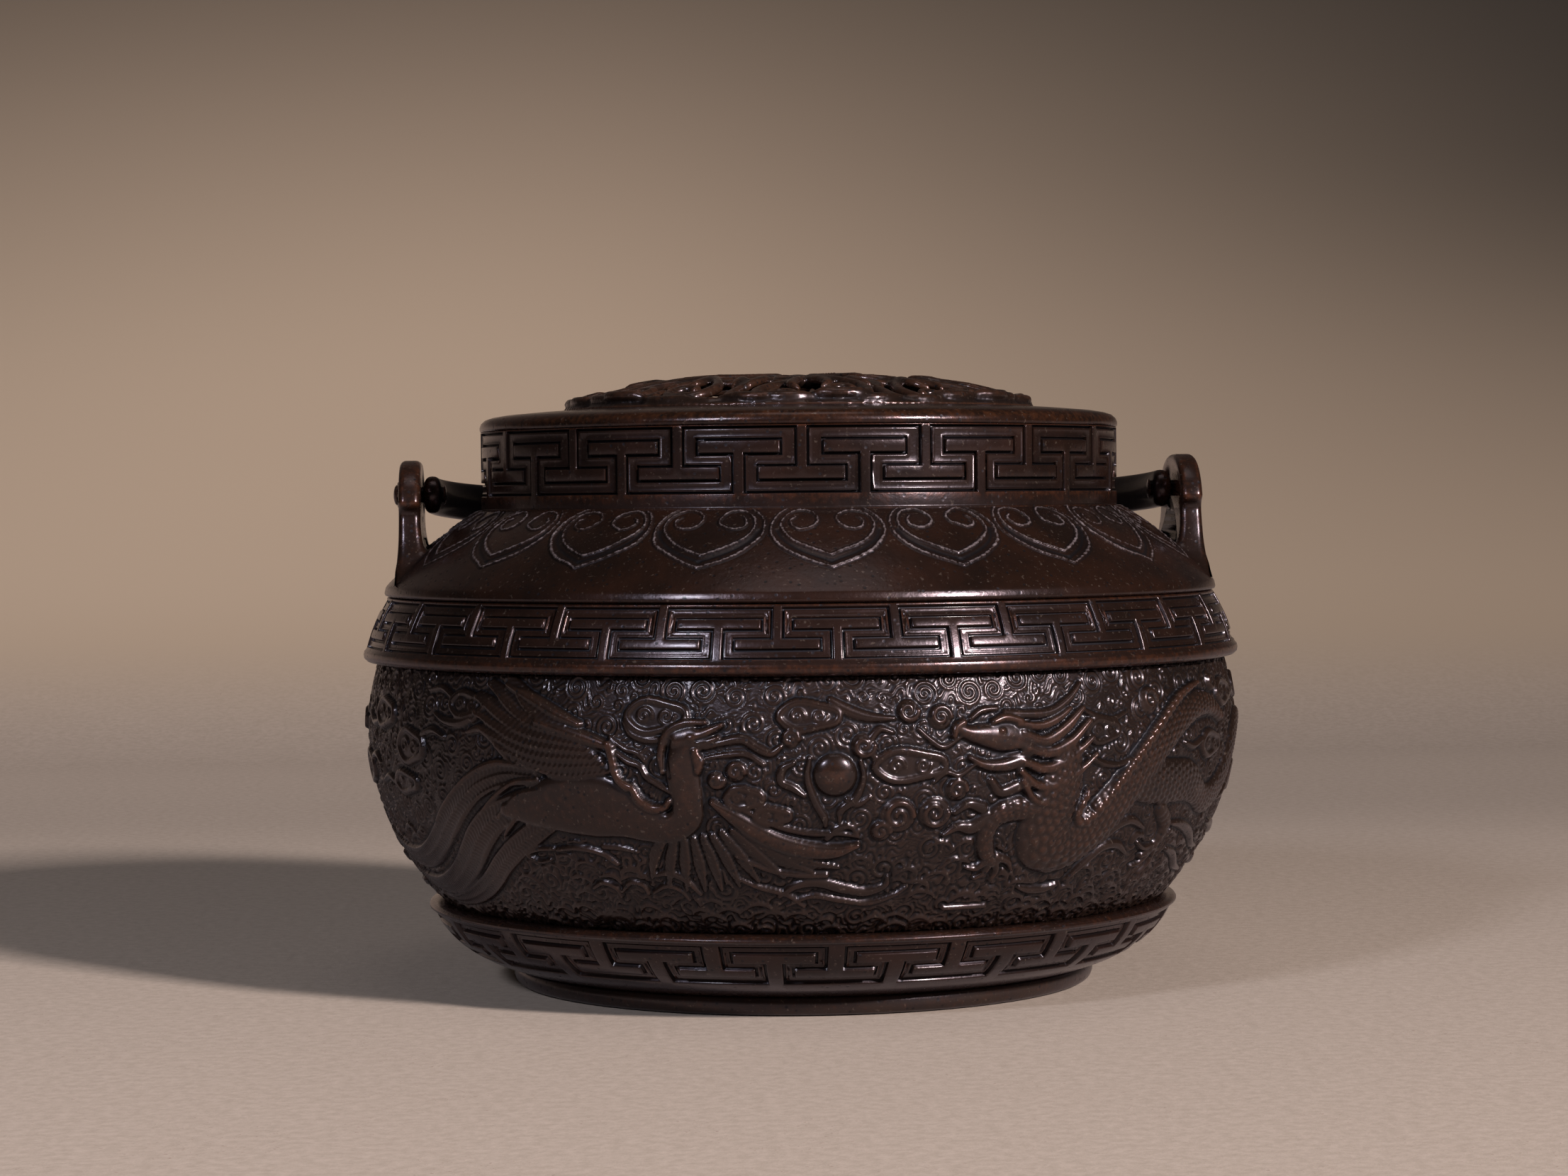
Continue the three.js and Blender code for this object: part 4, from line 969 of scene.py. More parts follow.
collar_rows = along(collar_wall, collar_length - COLLAR_TOP_BORDER - np.cumsum([0, *COLLAR_ROWS]))
collar_outline = [
    *from_corner(collar_edge, collar_foot, *COLLAR_BEAD),
    *collar_rows[::-1],
    *from_corner(collar_edge - COLLAR_LEAN, collar_head, (-0.1, -0.15), (-0.6, 0), (-2, 0)),
]
collar_heights = [p[1] for p in collar_rows]
collar_mesh = meander(
    collar_outline, collar_heights, COLLAR_COLUMNS, COLLAR_REPEATS, COLLAR_PHASE, COLLAR_DEPTHS
)
collar = as_piece("collar_band_cast", collar_mesh, handled_bronze, rounding=0.07, segments=1)
weathered(applied(collar), floor=-0.1, bend=0.8)
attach(collar, "vessel")
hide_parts("collar_band")


# Shoulder
# The convex slope from the collar up to the lid's seat, cast with the bowl and polished, over a round bead.
# Twenty lappets hang on it from the neck: two chased ridges each, which curl in at the top as volutes.
SHOULDER_WALL = 2.0
MOUTH_WALL = 1.5
NECK_RADIUS = 45.1
SLOPE_BEND = 0.462
SLOPE_FULLNESS = 0.66
SHOULDER_BEAD = [
    (-0.5, 1.66), (-0.32, 1.48), (-0.17, 1.2), (-0.02, 0.6), (0, 0.45), (-0.1, 0.2), (-0.6, 0),
    (-SHOULDER_WALL - 0.1, 0),
]
LAPPETS = 20
LAPPET_REPEATS = 4
LAPPET_REFERENCE = 57.4
LAPPET_PHASE = math.radians(0.6)
SHOULDER_PANELS = 4
SHOULDER_PANEL_COLUMNS = 440
SHOULDER_ROWS = 90
SHOULDER_SEAM = 220
CHASING_SEED = 11
LAPPET_RISE = 0.27
LAPPET_BREADTH = 1.15
LAPPET_EDGE = [
    (0, 3.7, 0.2), (1.7, 4.5, 0.24), (3.6, 5.4, 0.26), (5.6, 6.7, 0.27), (7.2, 8.3, 0.27),
    (8.2, 10, 0.25), (8.5, 11.6, 0.22), (8.2, 13.2, 0.2), (7.3, 14.8, 0.18), (6.2, 15.8, 0.15),
]
LAPPET_INSIDE = [
    (0, 6.0, 0.2), (1.7, 6.8, 0.25), (3.4, 7.7, 0.26), (5.1, 8.9, 0.25), (6.5, 10.4, 0.23),
    (7.1, 12, 0.21), (6.9, 13.5, 0.2), (6, 14.8, 0.2), (4.4, 15.5, 0.2), (2.7, 15.1, 0.2),
    (1.5, 14, 0.21), (1.5, 12.7, 0.23), (2.5, 11.7, 0.24), (4, 11.3, 0.23), (5.3, 11.9, 0.21),
    (5.6, 13.1, 0.18), (4.8, 13.9, 0.14),
]
shoulder_edge, shoulder_foot, seat = size_of("shoulder_shell")
mouth_radius, mouth_foot, mouth_head = size_of("mouth_collar")
mouth_inside = mouth_radius - MOUTH_WALL


def slope_line(wall, steps):
    """Points of the slope's outside from its foot to the neck, or of its inside when given a wall."""
    foot = np.array([shoulder_edge - 0.7 - wall, shoulder_foot + 1.9 - wall])
    head = np.array([NECK_RADIUS - wall, seat - wall])
    control = head[0] + (foot[0] - head[0]) * SLOPE_BEND, foot[1] + (head[1] - foot[1]) * SLOPE_FULLNESS
    return arc(foot, control, head, steps)


def chisel_marks(share, gone):
    """The uneven strokes of the chisel along a chased ridge."""
    return 0.04 * np.sin(gone / 0.19 + 2 * share) + 0.03 * np.sin(gone / 0.083)


drape = Relief(
    slope_line(0, 200),
    LAPPET_REFERENCE,
    LAPPET_REPEATS,
    SHOULDER_PANELS * SHOULDER_PANEL_COLUMNS // LAPPET_REPEATS,
    SHOULDER_ROWS,
)
chance = np.random.default_rng(CHASING_SEED)
lappet_pitch = 2 * math.pi * LAPPET_REFERENCE / LAPPETS
for index in range(LAPPETS // LAPPET_REPEATS):
    for hand in (-1, 1):
        for line in (LAPPET_EDGE, LAPPET_INSIDE):
            stray = chance.normal(0, 0.09, (len(line), 2))
            stray[0] = 0
            stroke = [
                (
                    index * lappet_pitch + hand * (u + du),
                    v + dv,
                    LAPPET_BREADTH * half * chance.uniform(0.85, 1.15),
                )
                for (u, v, half), (du, dv) in zip(line, stray)
            ]
            rise = LAPPET_RISE * chance.uniform(0.85, 1.15)
            drape.ridge(stroke, rise, flat=1.5, moat=0.3, chased=chisel_marks)
        middles = [((a[0] + b[0]) / 2, (a[1] + b[1]) / 2) for a, b in zip(LAPPET_EDGE[:6], LAPPET_INSIDE)]
        drape.groove([(index * lappet_pitch + hand * u, v, 0.55) for u, v in middles], 0.1)
drape.level -= 0.05 * (1 - drape.clear)
drape.level = 0.7 * drape.level + 0.3 * blurred(drape.level, 1)
polished_bronze = patinated_bronze("polished_bronze", "#1b120e", "#291810", "#472a1a", "#0a0706", 0.22, 0.035)
# The lappets' pale lilac-grey rubbed colour is rubbed metal and also a painted highlight on the chased ridges.
lappet_bronze = patinated_bronze("lappet_bronze", "#1e1410", "#2c1a12", "#8a7f84", "#0a0706", 0.24, 0.04)
shoulder_inside = [
    *from_corner(shoulder_edge, shoulder_foot, *SHOULDER_BEAD),
    *slope_line(SHOULDER_WALL, 4),
    (mouth_inside, seat - SHOULDER_WALL),
    (mouth_inside, seat),
]
for panel in drape.panels(
    "shoulder_lappets",
    SHOULDER_PANELS,
    np.array(shoulder_inside),
    LAPPET_PHASE,
    SHOULDER_SEAM,
    lappet_bronze,
    # Pale rubbing on the ridge tops, partly a painted highlight; darkening in the grooves and moats as grime
    # with painted shade.
    0.6 * (drape.level / 0.14 - 0.2).clip(0, 1),
    (-drape.level / 0.1).clip(0, 1) + 0.5 * (1 - drape.clear) * (drape.level < 0.08),
):
    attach(panel, "vessel")
    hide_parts("shoulder_shell")


# Mouth collar
# The upright ring that the lid slides over, turned smooth so that the lid lifts freely.
mouth_outline = [
    (mouth_inside, mouth_foot),
    (mouth_radius, mouth_foot),
    *from_corner(mouth_radius, mouth_head, (0, -0.3), (-0.4, 0), (-MOUTH_WALL, 0)),
]
mouth = as_piece("mouth_collar_turned", turned(mouth_outline), polished_bronze, rounding=0.2)
weathered(applied(mouth))
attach(mouth, "vessel")
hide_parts("mouth_collar")


# Lid wall
# The upright wall of the lid, with the boldest meander of the three above a plain polished border.
lid_radius, lid_foot, lid_head = size_of("lid_wall")
LID_WALL = 1.6
LID_ROWS = [0.32, 1.25, 0.38, 1.5, 0.38, 1.15, 0.36, 1.5, 0.34, 1.25, 0.34]
LID_TOP_BORDER = 0.1
LID_COLUMNS = [0.6, 0.35, 1.6, 0.35, 2.7, 0.35, 1.38, 0.32, 0.63]
LID_REPEATS = 17
LID_PHASE = math.radians(-3.2)
LID_DEPTHS = (0.62, 0.45, 0.09)
lid_rows = lid_head - LID_TOP_BORDER - np.cumsum([0, *LID_ROWS])
lid_outline = [
    *from_corner(lid_radius, lid_foot, (-LID_WALL, 0), (-0.15, 0), (0, 0.2), (0, 0.4)),
    *[(lid_radius, height) for height in lid_rows[::-1]],
    *from_corner(lid_radius, lid_head, (0, 0), (-LID_WALL, 0)),
]
lid_mesh = meander(lid_outline, list(lid_rows), LID_COLUMNS, LID_REPEATS, LID_PHASE, LID_DEPTHS)
lid_wall = as_piece("lid_wall_cast", lid_mesh, handled_bronze, rounding=0.08, segments=1)
weathered(applied(lid_wall), bend=0.8)
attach(lid_wall, "lid")
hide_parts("lid_wall")


# Lid rim
# The rounded edge of the lid and the plain border that slopes up to the pierced dome.
_, rim_foot, rim_head = size_of("lid_rim")
RIM_WIDTH = 13.6
RIM_PROUD = 0.15
RIM_EDGE = [(-LID_WALL, 0), (-0.1, 0), (RIM_PROUD, 0.25), (RIM_PROUD, 0.7), (RIM_PROUD - 0.2, 1.25)]
RIM_SLOPE = [(-0.6, 1.75), (-1.5, 2.05), (-3, 2.3), (-7, 2.65)]
rim_outline = [
    *from_corner(lid_radius, rim_foot, *RIM_EDGE, *RIM_SLOPE),
    *from_corner(lid_radius - RIM_WIDTH, rim_head, (3, 0), (0, 0), (0, -1.5)),
    *from_corner(lid_radius, rim_foot, (-4, 1), (-1.9, 0.6)),
]
rim = as_piece("lid_rim_turned", turned(rim_outline), polished_bronze, rounding=0.25, segments=3)
weathered(applied(rim), floor=0.12, bend=0.6)
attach(rim, "lid")
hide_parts("lid_rim")


# Ears
# Two cast plates that stand on the shoulder and hold the bail's pins: a round head over a small lip and a
# notch, then a foot that sweeps out each way and is run on to the slope with a fillet. Filed and rubbed bare.
EAR_THICKNESS = 3.0
EAR_STEP = 0.6
EAR_ROUNDING = 0.85
EAR_LINE = [
    (0, 4.8), (2.6, 4.72), (4.9, 4.2), (6.8, 3.2), (8.3, 1.8), (9.2, 0.4), (9.65, -0.6), (9.75, -1.2),
    (9.4, -1.75), (8.85, -2.2), (8.7, -2.8), (8.9, -3.7), (9.4, -5.2), (10, -7), (10.9, -8.9),
    (12, -10.6), (13.2, -12), (14.4, -14),
]
EAR_FLARE_TOP = 2.8
EAR_FLARE_FOOT = 10.6
EAR_FLARE_INSIDE = 1.9
EAR_FLARE_OUTSIDE = 0.4
FILLET = 0.45
PIN_HOLE = 1.25
pin_low, pin_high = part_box("pivot_pin_right")
pivot = (pin_low.z + pin_high.z) / 2 / MM
ear_outside = size_of("ear_right")[0] - EAR_STEP


def slope_height(radius):
    """Height of the shoulder's slope at a radius."""
    line = slope_line(0, 60)[::-1]
    return np.interp(radius, line[:, 0], line[:, 1])


def ear_mesh(side):
    """An ear at +X for side 1 and at -X for side -1."""
    half = smooth_line(EAR_LINE, 0.3)
    loop = np.vstack([half, (half * [-1, 1])[:0:-1]])
    run = np.roll(loop, -1, axis=0) - np.roll(loop, 1, axis=0)
    inward = np.stack([run[:, 1], -run[:, 0]], axis=1) / np.hypot(*run.T)[:, None]
    quarter = np.linspace(math.pi / 2, 0, 6)
    levels = [(EAR_ROUNDING * (1 - math.sin(a)), EAR_ROUNDING * (1 - math.cos(a))) for a in quarter]
    levels += [(EAR_THICKNESS / 2, 0)] + [(EAR_THICKNESS - x, inset) for x, inset in levels[::-1]]
    back = ear_outside - EAR_THICKNESS
    hole = PIN_HOLE * loop / np.hypot(*loop.T)[:, None]
    rings = [[(back + x, y, pivot + z) for y, z in loop + inward * inset] for x, inset in levels]
    rings += [[(back + x, y, pivot + z) for y, z in hole] for x in (EAR_THICKNESS, EAR_THICKNESS / 2, 0)]
    bm = rolled(rings, ends=False)
    for height in np.arange(pivot - 12.4, pivot - EAR_FLARE_TOP, 0.5):
        geometry = bm.verts[:] + bm.edges[:] + bm.faces[:]
        bmesh.ops.bisect_plane(bm, geom=geometry, plane_co=(0, 0, height * MM), plane_no=(0, 0, 1))
    for vertex in bm.verts:
        x, y, z = vertex.co / MM
        across = (x - back) / EAR_THICKNESS
        down = min(1, max(0, (pivot - EAR_FLARE_TOP - z) / (EAR_FLARE_FOOT - EAR_FLARE_TOP)))
        x += EAR_FLARE_OUTSIDE * down**3 * across - EAR_FLARE_INSIDE * down**2.4 * (1 - across)
        ground = slope_height(math.hypot(x, y))
        near_foot = min(1, max(0, 1 - (z - ground) / 1.2)) ** 2
        x -= FILLET * near_foot * (1 - across)
        y += FILLET * near_foot * (1 if y > 0 else -1) * (abs(y) > 6)
        ground = slope_height(math.hypot(x, y))
        vertex.co = Vector((side * x, side * y, max(z, ground - 0.15))) * MM
    bmesh.ops.remove_doubles(bm, verts=bm.verts, dist=1e-7)
    bmesh.ops.recalc_face_normals(bm, faces=bm.faces)
    return bm


for side, word in ((1, "right"), (-1, "left")):
    ear = as_piece(f"ear_{word}_cast", ear_mesh(side), handled_bronze)
    weathered(ear, floor=0.12, bend=0.5)
    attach(ear, "vessel")
    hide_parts(f"ear_{word}")


# Bail
# A cast strap bent to a half circle, wider over the crown, with round eyes that the pins pass through. It
# folds back behind the neck until its crown lies just over the shoulder. Its inner face, turned to the neck,
# is painted black as painted shade.
BAIL_THICKNESS = 2.7
BAIL_END = 5.2
BAIL_CROWN = 6.2
BAIL_DROOP = math.radians(2.97)
BAIL_ROUNDING = 0.78
BAIL_AROUND = 32
EYE_STEP = 0.24
EYE_REACH = 0.25
BAIL_STATIONS = 120
INNER_SHADE = 1.3
EYE_SHARES = [0.9998, 0.997, 0.985, 0.96, 0.92, 0.85, 0.76, 0.65, 0.52, 0.37, 0.2]
bail_radius = size_of("bail")[0] - BAIL_THICKNESS / 2


def strap_section(width, depth):
    """The strap's section (out, up): an oval of this height and depth, flattened on its sides."""
    turns = np.linspace(0, 2 * math.pi, BAIL_AROUND + 1)[:-1]
    out, up = np.cos(turns), np.sin(turns)
    out = np.sign(out) * np.abs(out) ** BAIL_ROUNDING * depth / 2
    up = np.sign(up) * np.abs(up) ** BAIL_ROUNDING * width / 2
    return np.stack([out, up], axis=1)


def strap_ring(turn, width, depth=BAIL_THICKNESS):
    """One section of the strap at an angle of its half circle, or beyond an end at this distance in radians.

    Near the eyes the strap steps out towards the ears.
    """
    beyond = max(0, -turn, turn - math.pi)
    side = -1 if turn > math.pi else 1
    step = EYE_STEP * (1 - min(1, max(0, min(turn, math.pi - turn)) / EYE_REACH))
    ring = []
    for out, up in strap_section(width, depth):
        radius = bail_radius + step + out
        x, y = radius * math.cos(turn), radius * math.sin(turn)
        if beyond:
            x, y = side * radius, -beyond * bail_radius
        height = pivot - y * math.sin(BAIL_DROOP) + up * math.cos(BAIL_DROOP)
        ring.append((x, y * math.cos(BAIL_DROOP) + up * math.sin(BAIL_DROOP), height))
    return ring


def eye_ring(end, share):
    """A section of the round eye beyond an end of the strap, at a share of the eye's radius."""
    beyond = share * BAIL_END / 2 / bail_radius
    turn = math.pi + beyond if end else -beyond
    return strap_ring(turn, BAIL_END * math.sqrt(1 - share**2), BAIL_THICKNESS * math.sqrt(1 - share**8))


rings = [eye_ring(0, share) for share in EYE_SHARES]
for i in range(BAIL_STATIONS + 1):
    turn = math.pi * i / BAIL_STATIONS
    rings.append(strap_ring(turn, BAIL_END + (BAIL_CROWN - BAIL_END) * math.sin(turn) ** 2))
rings += [eye_ring(1, share) for share in EYE_SHARES[::-1]]
bail = as_piece("bail_strap", rolled(rings), handled_bronze)
# A high floor of rubbing makes the whole strap redder: handling wear, and also painted light on its end faces,
# which the lamps barely reach.
weathered(bail, floor=0.3, bend=0.5)
# Painted shade: faces turned in towards the neck are darkened to black.
for vertex, shade_and_grime_mark in zip(bail.data.vertices, bail.data.attributes["shade_and_grime"].data):
    inward = -vertex.normal.to_2d().dot(vertex.co.to_2d().normalized())
    shade_and_grime_mark.value = max(shade_and_grime_mark.value, min(1, INNER_SHADE * inward))
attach(bail, "bail")
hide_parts("bail")


# Pivots
# A pin through each ear and eye of the bail: a domed head outside over a small flower washer, and an end
# peened over to a low dome inside. Pin and washer turn with neither the ear nor the bail.
PIN_RADIUS = 1.1
PIN_HEAD = 1.45
HEAD_DOME = 0.55
ROSETTE_THICKNESS = 0.5
ROSETTE_PETALS = 8
PETAL_DEPTH = 0.32
rosette_radius = size_of("pivot_rosette_right")[2] - pivot


def on_pivot(bm, side):
    """The mesh, turned about Z with its heights as distances from the axis, laid along X at a pivot."""
    bmesh.ops.rotate(bm, verts=bm.verts, cent=(0, 0, 0), matrix=Matrix.Rotation(side * math.pi / 2, 3, "Y"))
    bmesh.ops.translate(bm, verts=bm.verts, vec=(0, 0, pivot * MM))
    return bm


def domed(radius, height, base, steps=6):
    """Points of a low dome from its edge to the axis."""
    turns = np.linspace(0, math.pi / 2, steps + 1)
    return [(radius * math.cos(a), base + height * math.sin(a)) for a in turns[:-1]] + [(0, base + height)]


def rosette_mesh():
    """A washer with petals round its edge, each one raised along its middle."""
    inner = PIN_RADIUS + 0.1
    top = ear_outside + ROSETTE_THICKNESS
    edge = from_corner(rosette_radius, top, (0, -0.25), (-0.12, -0.08), (-0.35, 0), (-0.6, -0.06))
    bm = turned([(inner, ear_outside), (rosette_radius, ear_outside), *edge, (inner, top)], 96)
    for vertex in bm.verts:
        reach = math.hypot(vertex.co.x, vertex.co.y) / MM
        valley = abs(math.sin(ROSETTE_PETALS / 2 * math.atan2(vertex.co.y, vertex.co.x))) ** 3
        share = max(0, (reach - inner) / (rosette_radius - inner))
        vertex.co.xy *= 1 - PETAL_DEPTH / rosette_radius * valley * share
        if vertex.co.z > (ear_outside + 0.2) * MM:
            vertex.co.z -= 0.2 * valley * share * MM
    bmesh.ops.recalc_face_normals(bm, faces=bm.faces)
    return bm


peen = bail_radius - BAIL_THICKNESS / 2
head_base = ear_outside + ROSETTE_THICKNESS
pin_line = [
    (0, peen - 0.7 * HEAD_DOME),
    (0.5 * PIN_HEAD, peen - 0.6 * HEAD_DOME),
    (0.85 * PIN_HEAD, peen - 0.35 * HEAD_DOME),
    *from_corner(0, peen - 0.05, (PIN_HEAD, 0), (PIN_RADIUS, 0)),
    (PIN_RADIUS, head_base),
    *domed(PIN_HEAD, HEAD_DOME, head_base),
]
for side, word in ((1, "right"), (-1, "left")):
    washer_mesh = on_pivot(rosette_mesh(), side)
    washer = as_piece(f"pivot_rosette_{word}_cast", washer_mesh, handled_bronze, rounding=0.06)
    weathered(applied(washer), floor=0.1, bend=0.5)
    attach(washer, "vessel")
    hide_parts(f"pivot_rosette_{word}")
    pin_mesh = on_pivot(turned(pin_line, 48), side)
    pin = as_piece(f"pivot_pin_{word}_turned", pin_mesh, handled_bronze, rounding=0.08)
    weathered(applied(pin), floor=0.15, bend=0.5)
    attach(pin, "vessel")
    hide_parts(f"pivot_pin_{word}")


# Pierced dome
# The open top of the lid, which lets the warm air through: scrolls, leaves and a flower, cast in bronze,
# pierced, and let into the lid's border. Its lines are laid as round bars and run together as in the wax.
GRILLE_SCROLLS = 8
GRILLE_SEAT = 2.2
DOME_RISE = 3.6
DOME_EDGE = 0.3
GRILLE_GRAIN = 0.325
GRILLE_SEED = 3
BOSS_RADIUS = 3.3
grille_radius, grille_foot, _ = size_of("lid_grille")
open_radius = grille_radius - GRILLE_SEAT
lobed_radius = grille_radius * 0.51
LOBE_DEPTH = 1.3
SCROLL = [
    (17.6, 0.4, 0.7), (19, 1.8, 0.8), (21, 4, 0.85), (23.4, 6.2, 0.85), (25.8, 7.4, 0.85),
    (28.6, 7.4, 0.85), (30.3, 5.6, 0.85), (29.9, 3.3, 0.8), (28, 2.3, 0.75), (26.3, 3.2, 0.7),
    (26.1, 4.9, 0.65), (27.6, 5.5, 0.75),
]
LEAF = [(18, 0.2, 0.3), (19.6, 1.2, 0.65), (21.8, 2.1, 0.9), (23.6, 2.2, 0.7), (25, 1.4, 0.25)]
SPRAY = [(16.4, 5.2, 0.35), (18.4, 6, 0.75), (20.6, 7.2, 0.8), (22.4, 8.2, 0.35)]
PETAL = [(2.6, 0.3, 0.6), (5.5, 1.2, 0.6), (9, 2.5, 0.65), (12.5, 3.5, 0.7), (15.4, 3.1, 0.7),
         (17.4, 1.4, 0.65), (18, 0, 0.6)]
VEIN = [(2.8, 0, 0.6), (6, 0, 0.55), (9, 0, 0.6), (11.4, 0, 0.75), (12.4, 0, 0.3)]
STEM = [(16.4, 0, 0.5), (19, 0, 0.7), (22, 0, 0.6), (25.5, 0, 0.75), (28.5, 0, 0.95), (31.4, 0, 0.9)]
EDGE_LEAF = [(30.9, -0.6, 0.3), (31.6, 1.6, 0.75), (31.7, 4, 1.0), (31.2, 6.4, 0.85), (30.6, 8.2, 0.3)]
BUD = [(26.9, 0, 0.35), (28.2, 0, 0.75), (30, 0, 0.95), (31.6, 0, 0.9)]


def dome_height(radius):
    """Height of the middle of the dome's metal at a radius."""
    return grille_foot + DOME_EDGE + DOME_RISE * (1 - min(1, radius / open_radius) ** 2.8)


def join(bm, part):
    """Adds one mesh to another."""
    mesh = bpy.data.meshes.new("part")
    part.to_mesh(mesh)
    part.free()
    bm.from_mesh(mesh)
    bpy.data.meshes.remove(mesh)


def bar(bm, points, tall, lift=0.0):
    """A closed bar with a round top laid on the dome through points (x, y, half width).

    Tall is half its height, and lift is how far it stands off the middle of the metal where it is wide.
    """
    line = smooth_line(points, 0.5)
    run = np.gradient(line[:, :2], axis=0)
    across = np.stack([-run[:, 1], run[:, 0]], axis=1) / np.hypot(*run.T)[:, None]
    rings = []
    for (x, y, half), (side_x, side_y) in zip(line, across):
        middle = dome_height(math.hypot(x, y)) + lift * min(1, half / 0.7)
        ring = []
        for step in range(12):
            wide, up = half * math.cos(step * math.pi / 6), tall * math.sin(step * math.pi / 6)
            ring.append((x + side_x * wide, y + side_y * wide, middle + up * (1 if up > 0 else 0.8)))
        rings.append(ring)
    join(bm, rolled(rings))


def hoop(bm, radius_at, half, tall, lift=0.0):
    """A closed ring round the dome."""
    turns = np.linspace(0, 2 * math.pi, 193)
    bar(bm, [(radius_at(a) * math.cos(a), radius_at(a) * math.sin(a), half) for a in turns], tall, lift)


bm = bmesh.new()
chance = np.random.default_rng(GRILLE_SEED)
hoop(bm, lambda a: (grille_radius + open_radius) / 2, GRILLE_SEAT / 2 + 0.1, 0.4, -0.3)
hoop(bm, lambda a: lobed_radius + LOBE_DEPTH * abs(math.cos(GRILLE_SCROLLS / 2 * a)) ** 0.8, 0.75, 0.7)
boss = [*from_corner(BOSS_RADIUS, 0, (0, -0.5), (0, 0.1), (-0.3, 0.6), (-1.1, 0.95)), (0.6, 1.15), (0.15, 1.18)]
circle = np.linspace(0, 2 * math.pi, 33)[:-1]
join(bm, rolled([[(r * math.cos(a), r * math.sin(a), dome_height(0) + h) for a in circle] for r, h in boss]))
for index in range(GRILLE_SCROLLS):
    turn = 2 * math.pi * index / GRILLE_SCROLLS
    for points, tall, lift, sides, late in (
        (SCROLL, 0.75, 0.15, (1, -1), 0), (LEAF, 0.6, 0.35, (1, -1), 0), (SPRAY, 0.6, 0.2, (1, -1), 0),
        (PETAL, 0.7, 0.05, (1, -1), 0), (VEIN, 0.6, 0.1, (1,), 0), (STEM, 0.7, 0.1, (1,), 0.5),
        (BUD, 0.7, 0.3, (1,), 0), (EDGE_LEAF, 0.75, 0.6, (1, -1), 0), (EDGE_LEAF, 0.65, 0.35, (1, -1), 0.5),
    ):
        heading = turn + 2 * math.pi * late / GRILLE_SCROLLS
        for side in sides:
            stray = chance.normal(0, 0.12, (len(points), 2))
            line = [
                (
                    (x + dx) * math.cos(heading) - (side * y + dy) * math.sin(heading),
                    (x + dx) * math.sin(heading) + (side * y + dy) * math.cos(heading),
                    half * chance.uniform(0.9, 1.1),
                )
                for (x, y, half), (dx, dy) in zip(points, stray)
            ]
            bar(bm, line, tall + 0.1, lift + chance.uniform(-0.3, 0.65))
bmesh.ops.recalc_face_normals(bm, faces=bm.faces)
grille = as_piece("lid_grille_pierced", bm, relief_bronze)
cast = grille.modifiers.new("cast", "REMESH")
cast.mode = "VOXEL"
cast.voxel_size = GRILLE_GRAIN * MM
cast.use_smooth_shade = True
soft = grille.modifiers.new("soft", "SMOOTH")
soft.factor = 0.5
soft.iterations = 2
weathered(applied(grille), floor=0.05, bend=0.35, spread=1)
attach(grille, "lid")
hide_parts("lid_grille")


# Floor and backdrop
# A pale paper sweep that lies flat under the warmer, mottled and worn, and curves up well behind it. Its
# colour carries painted light and shade: darker higher up, to the sides and far in front, where the lamps'
# light falls off, and a little brighter low on the curve and far back. It is not part of the object.
SWEEP_START = 0.42
SWEEP_RADIUS = 0.36
SWEEP_TOP = 1.2
SWEEP_HALF = 2.2
SWEEP_FRONT = -1.6


def shaded(value, start, end, low, high):
    """A share of painted light that goes softly from low to high between two places."""
    return ramp(tree, value, start, end, low, high, "SMOOTHSTEP")


def product(first, second):
    """Two values multiplied."""
    return maths(tree, "MULTIPLY", first, second)


paper = bpy.data.materials.new("sweep_paper")
tree = empty_tree(paper)
place = add_node(tree, "TexCoord", {}, "Object")
across, back, up = (add_node(tree, "SeparateXYZ", {"Vector": place}, axis) for axis in "XYZ")
# Painted falloff of the lamps' light, as shares that scale the paper's colour.
far = product(shaded(back, 0.15, 0.26, 1.05, 0.95), shaded(back, 0.25, 0.4, 1, 1.17))
far = product(far, shaded(back, -0.75, -0.2, 0.3, 1))
high = product(shaded(up, 0.01, 0.045, 1, 1.09), shaded(up, 0.1, 0.3, 1, 0.24))
right = product(shaded(across, -0.31, 0.43, 0, 1), shaded(up, -0.06, 0.2, 0.3, 0.93))
left = product(shaded(across, -0.32, 0.01, 1, 0), shaded(up, 0, 0.173, 0, 0.34))
lit = maths(tree, "SUBTRACT", 1, maths(tree, "ADD", right, left))
flat = shaded(up, 0, 0.03, 1, 0)
mottled = mixed(tree, shaded(noise(tree, place, 1.6, 8, 0.65), 0.3, 0.7, 0, 1), "#a99b90", "#b8a99f")
fine = shaded(noise(tree, place, 0.8, 3, 0.65), 0.6, 0.7, 0, 0.5)
patches = shaded(noise(tree, place, 22, 2, 0.65), 0.45, 0.62, 0, 1)
flecked = mixed(tree, product(fine, patches), mottled, "#6d5344")
tone = mixed(tree, flat, "#b6a390", flecked)
# The paper's own colour times the painted light and shade.
shade = product(product(far, high), lit)
tooth = product(noise(tree, place, 0.8, 5, 0.65), flat)
paper_shader = add_node(
    tree,
    "BsdfPrincipled",
    {
        "Base Color": add_node(tree, "VectorMath", {"operation": "SCALE", 0: tone, "Scale": shade}),
        "Roughness": 0.9,
        "Normal": add_node(tree, "Bump", {"Strength": 0.6, "Distance": 0.12 * MM, "Height": tooth}),
    },
)
add_node(tree, "OutputMaterial", {"Surface": paper_shader})
bm = bmesh.new()
sweep = [(SWEEP_FRONT, 0.0), (SWEEP_START, 0.0)]
for i in range(1, 13):
    turn = i / 12 * math.pi / 2
    sweep.append((SWEEP_START + SWEEP_RADIUS * math.sin(turn), SWEEP_RADIUS * (1 - math.cos(turn))))
sweep.append((SWEEP_START + SWEEP_RADIUS, SWEEP_TOP))
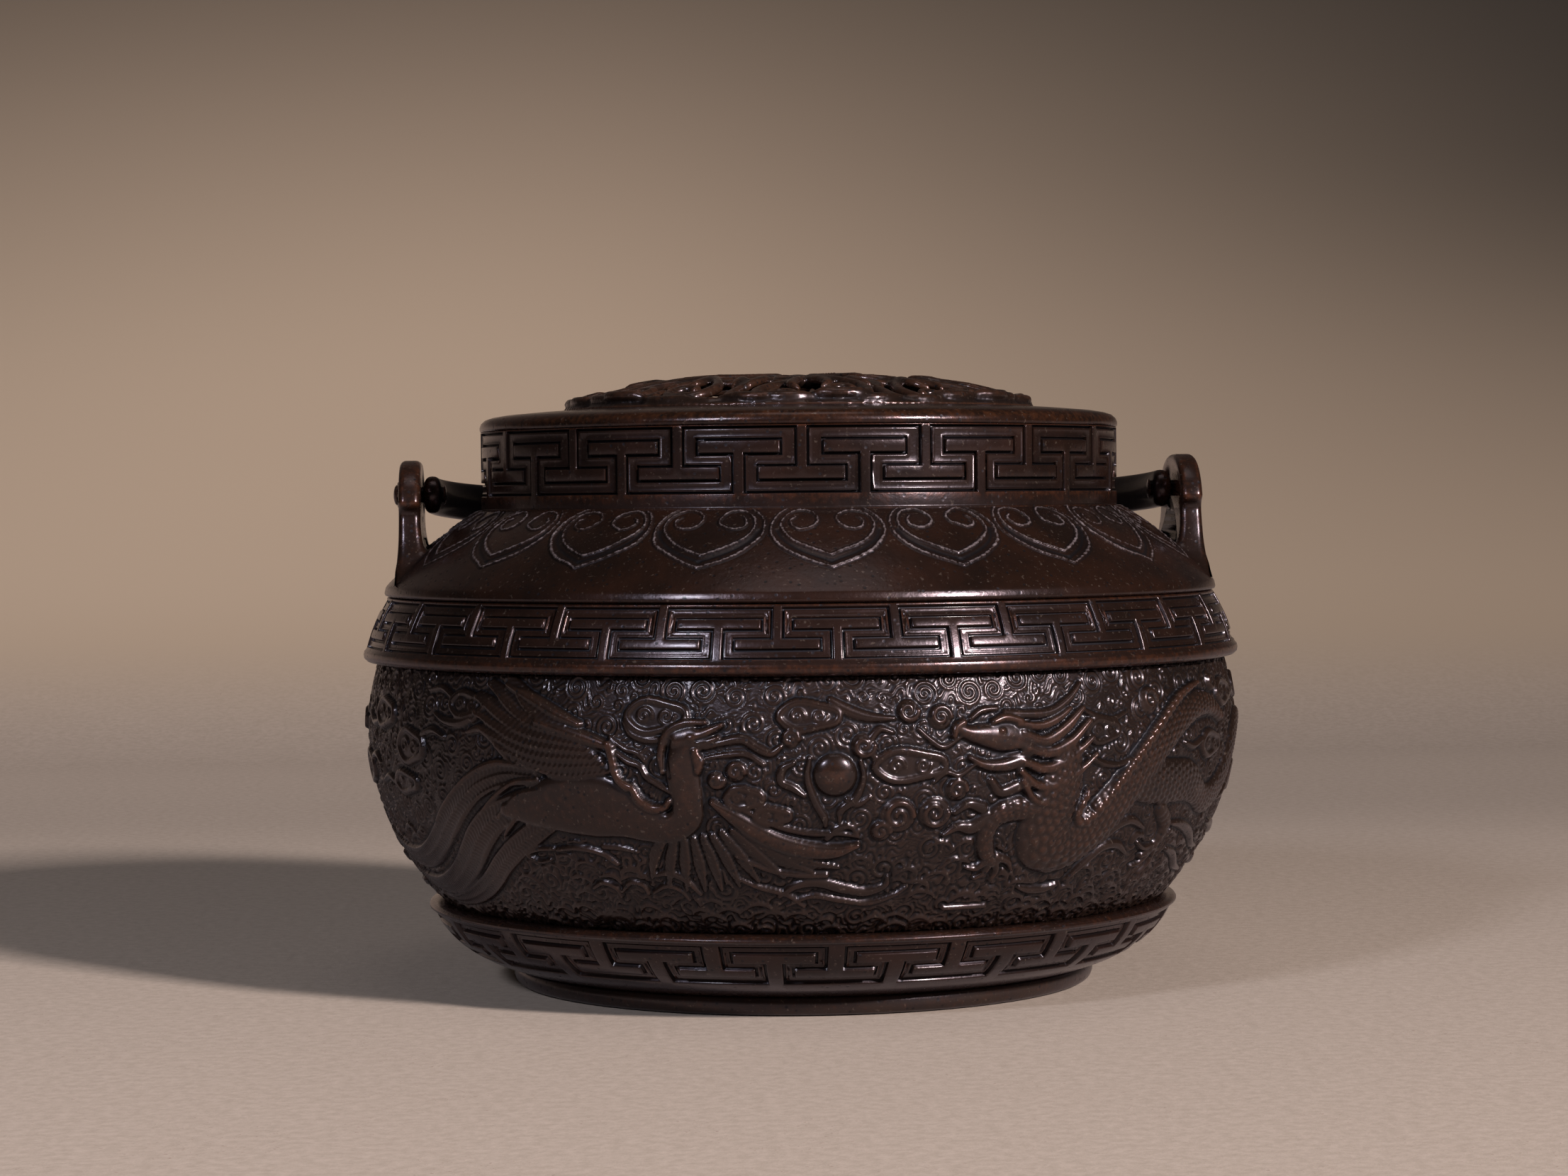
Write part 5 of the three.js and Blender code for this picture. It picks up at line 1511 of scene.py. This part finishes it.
line = [bm.verts.new((-SWEEP_HALF, y, z)) for y, z in sweep]
edges = [bm.edges.new(pair) for pair in zip(line, line[1:])]
swept = bmesh.ops.extrude_edge_only(bm, edges=edges)
for vertex in (item for item in swept["geom"] if isinstance(item, bmesh.types.BMVert)):
    vertex.co.x = SWEEP_HALF
bmesh.ops.recalc_face_normals(bm, faces=bm.faces)
if bm.faces[:][0].normal.z < 0:
    bmesh.ops.reverse_faces(bm, faces=bm.faces)
floor = as_piece("paper_sweep", bm, paper)


# Lamps and camera
# Two soft lamps in front, the stronger at the right, and a weak one overhead, in a dim even room. The camera
# stands low in front, a little to the left.
LAMP_AIM = Vector((0, 0, 0.04))
CAMERA_LENS = 80.6
SENSOR_WIDTH = 36
CAMERA_PLACE = (-0.0324, -0.4939, 0.0669)
CAMERA_TURN = (88.6, 0.55, -3.51)


def lamp(name, azimuth, elevation, distance, size, power, tint):
    """A square soft lamp aimed at the warmer, its azimuth turned from the front towards +X."""
    data = bpy.data.lights.new(name, "AREA")
    data.shape = "SQUARE"
    data.size = size
    data.energy = power
    data.color = colour(tint)[:3]
    light = bpy.data.objects.new(name, data)
    bpy.context.scene.collection.objects.link(light)
    side, up = math.radians(azimuth), math.radians(elevation)
    out = Vector((math.sin(side) * math.cos(up), -math.cos(side) * math.cos(up), math.sin(up)))
    light.location = LAMP_AIM + out * distance
    light.rotation_euler = out.to_track_quat("Z", "Y").to_euler()


lamp("key_lamp", 40, 25, 1.3, 0.13, 27, "#fff3ec")
lamp("fill_lamp", -35, 28, 1.3, 0.16, 6.5, "#f2f5ff")
lamp("top_lamp", 10, 80, 1.4, 0.6, 1.1, "#fff8f2")
world = bpy.data.worlds.new("room")
bpy.context.scene.world = world
tree = empty_tree(world)
room = add_node(tree, "Background", {"Color": colour("#8b857d"), "Strength": 0.07})
add_node(tree, "OutputWorld", {"Surface": room})

camera_data = bpy.data.cameras.new("camera")
camera_data.lens = CAMERA_LENS
camera_data.sensor_width = SENSOR_WIDTH
camera = bpy.data.objects.new("camera", camera_data)
bpy.context.scene.collection.objects.link(camera)
camera.location = CAMERA_PLACE
camera.rotation_euler = [math.radians(turn) for turn in CAMERA_TURN]
bpy.context.scene.camera = camera
bpy.context.scene.view_settings.view_transform = "Standard"
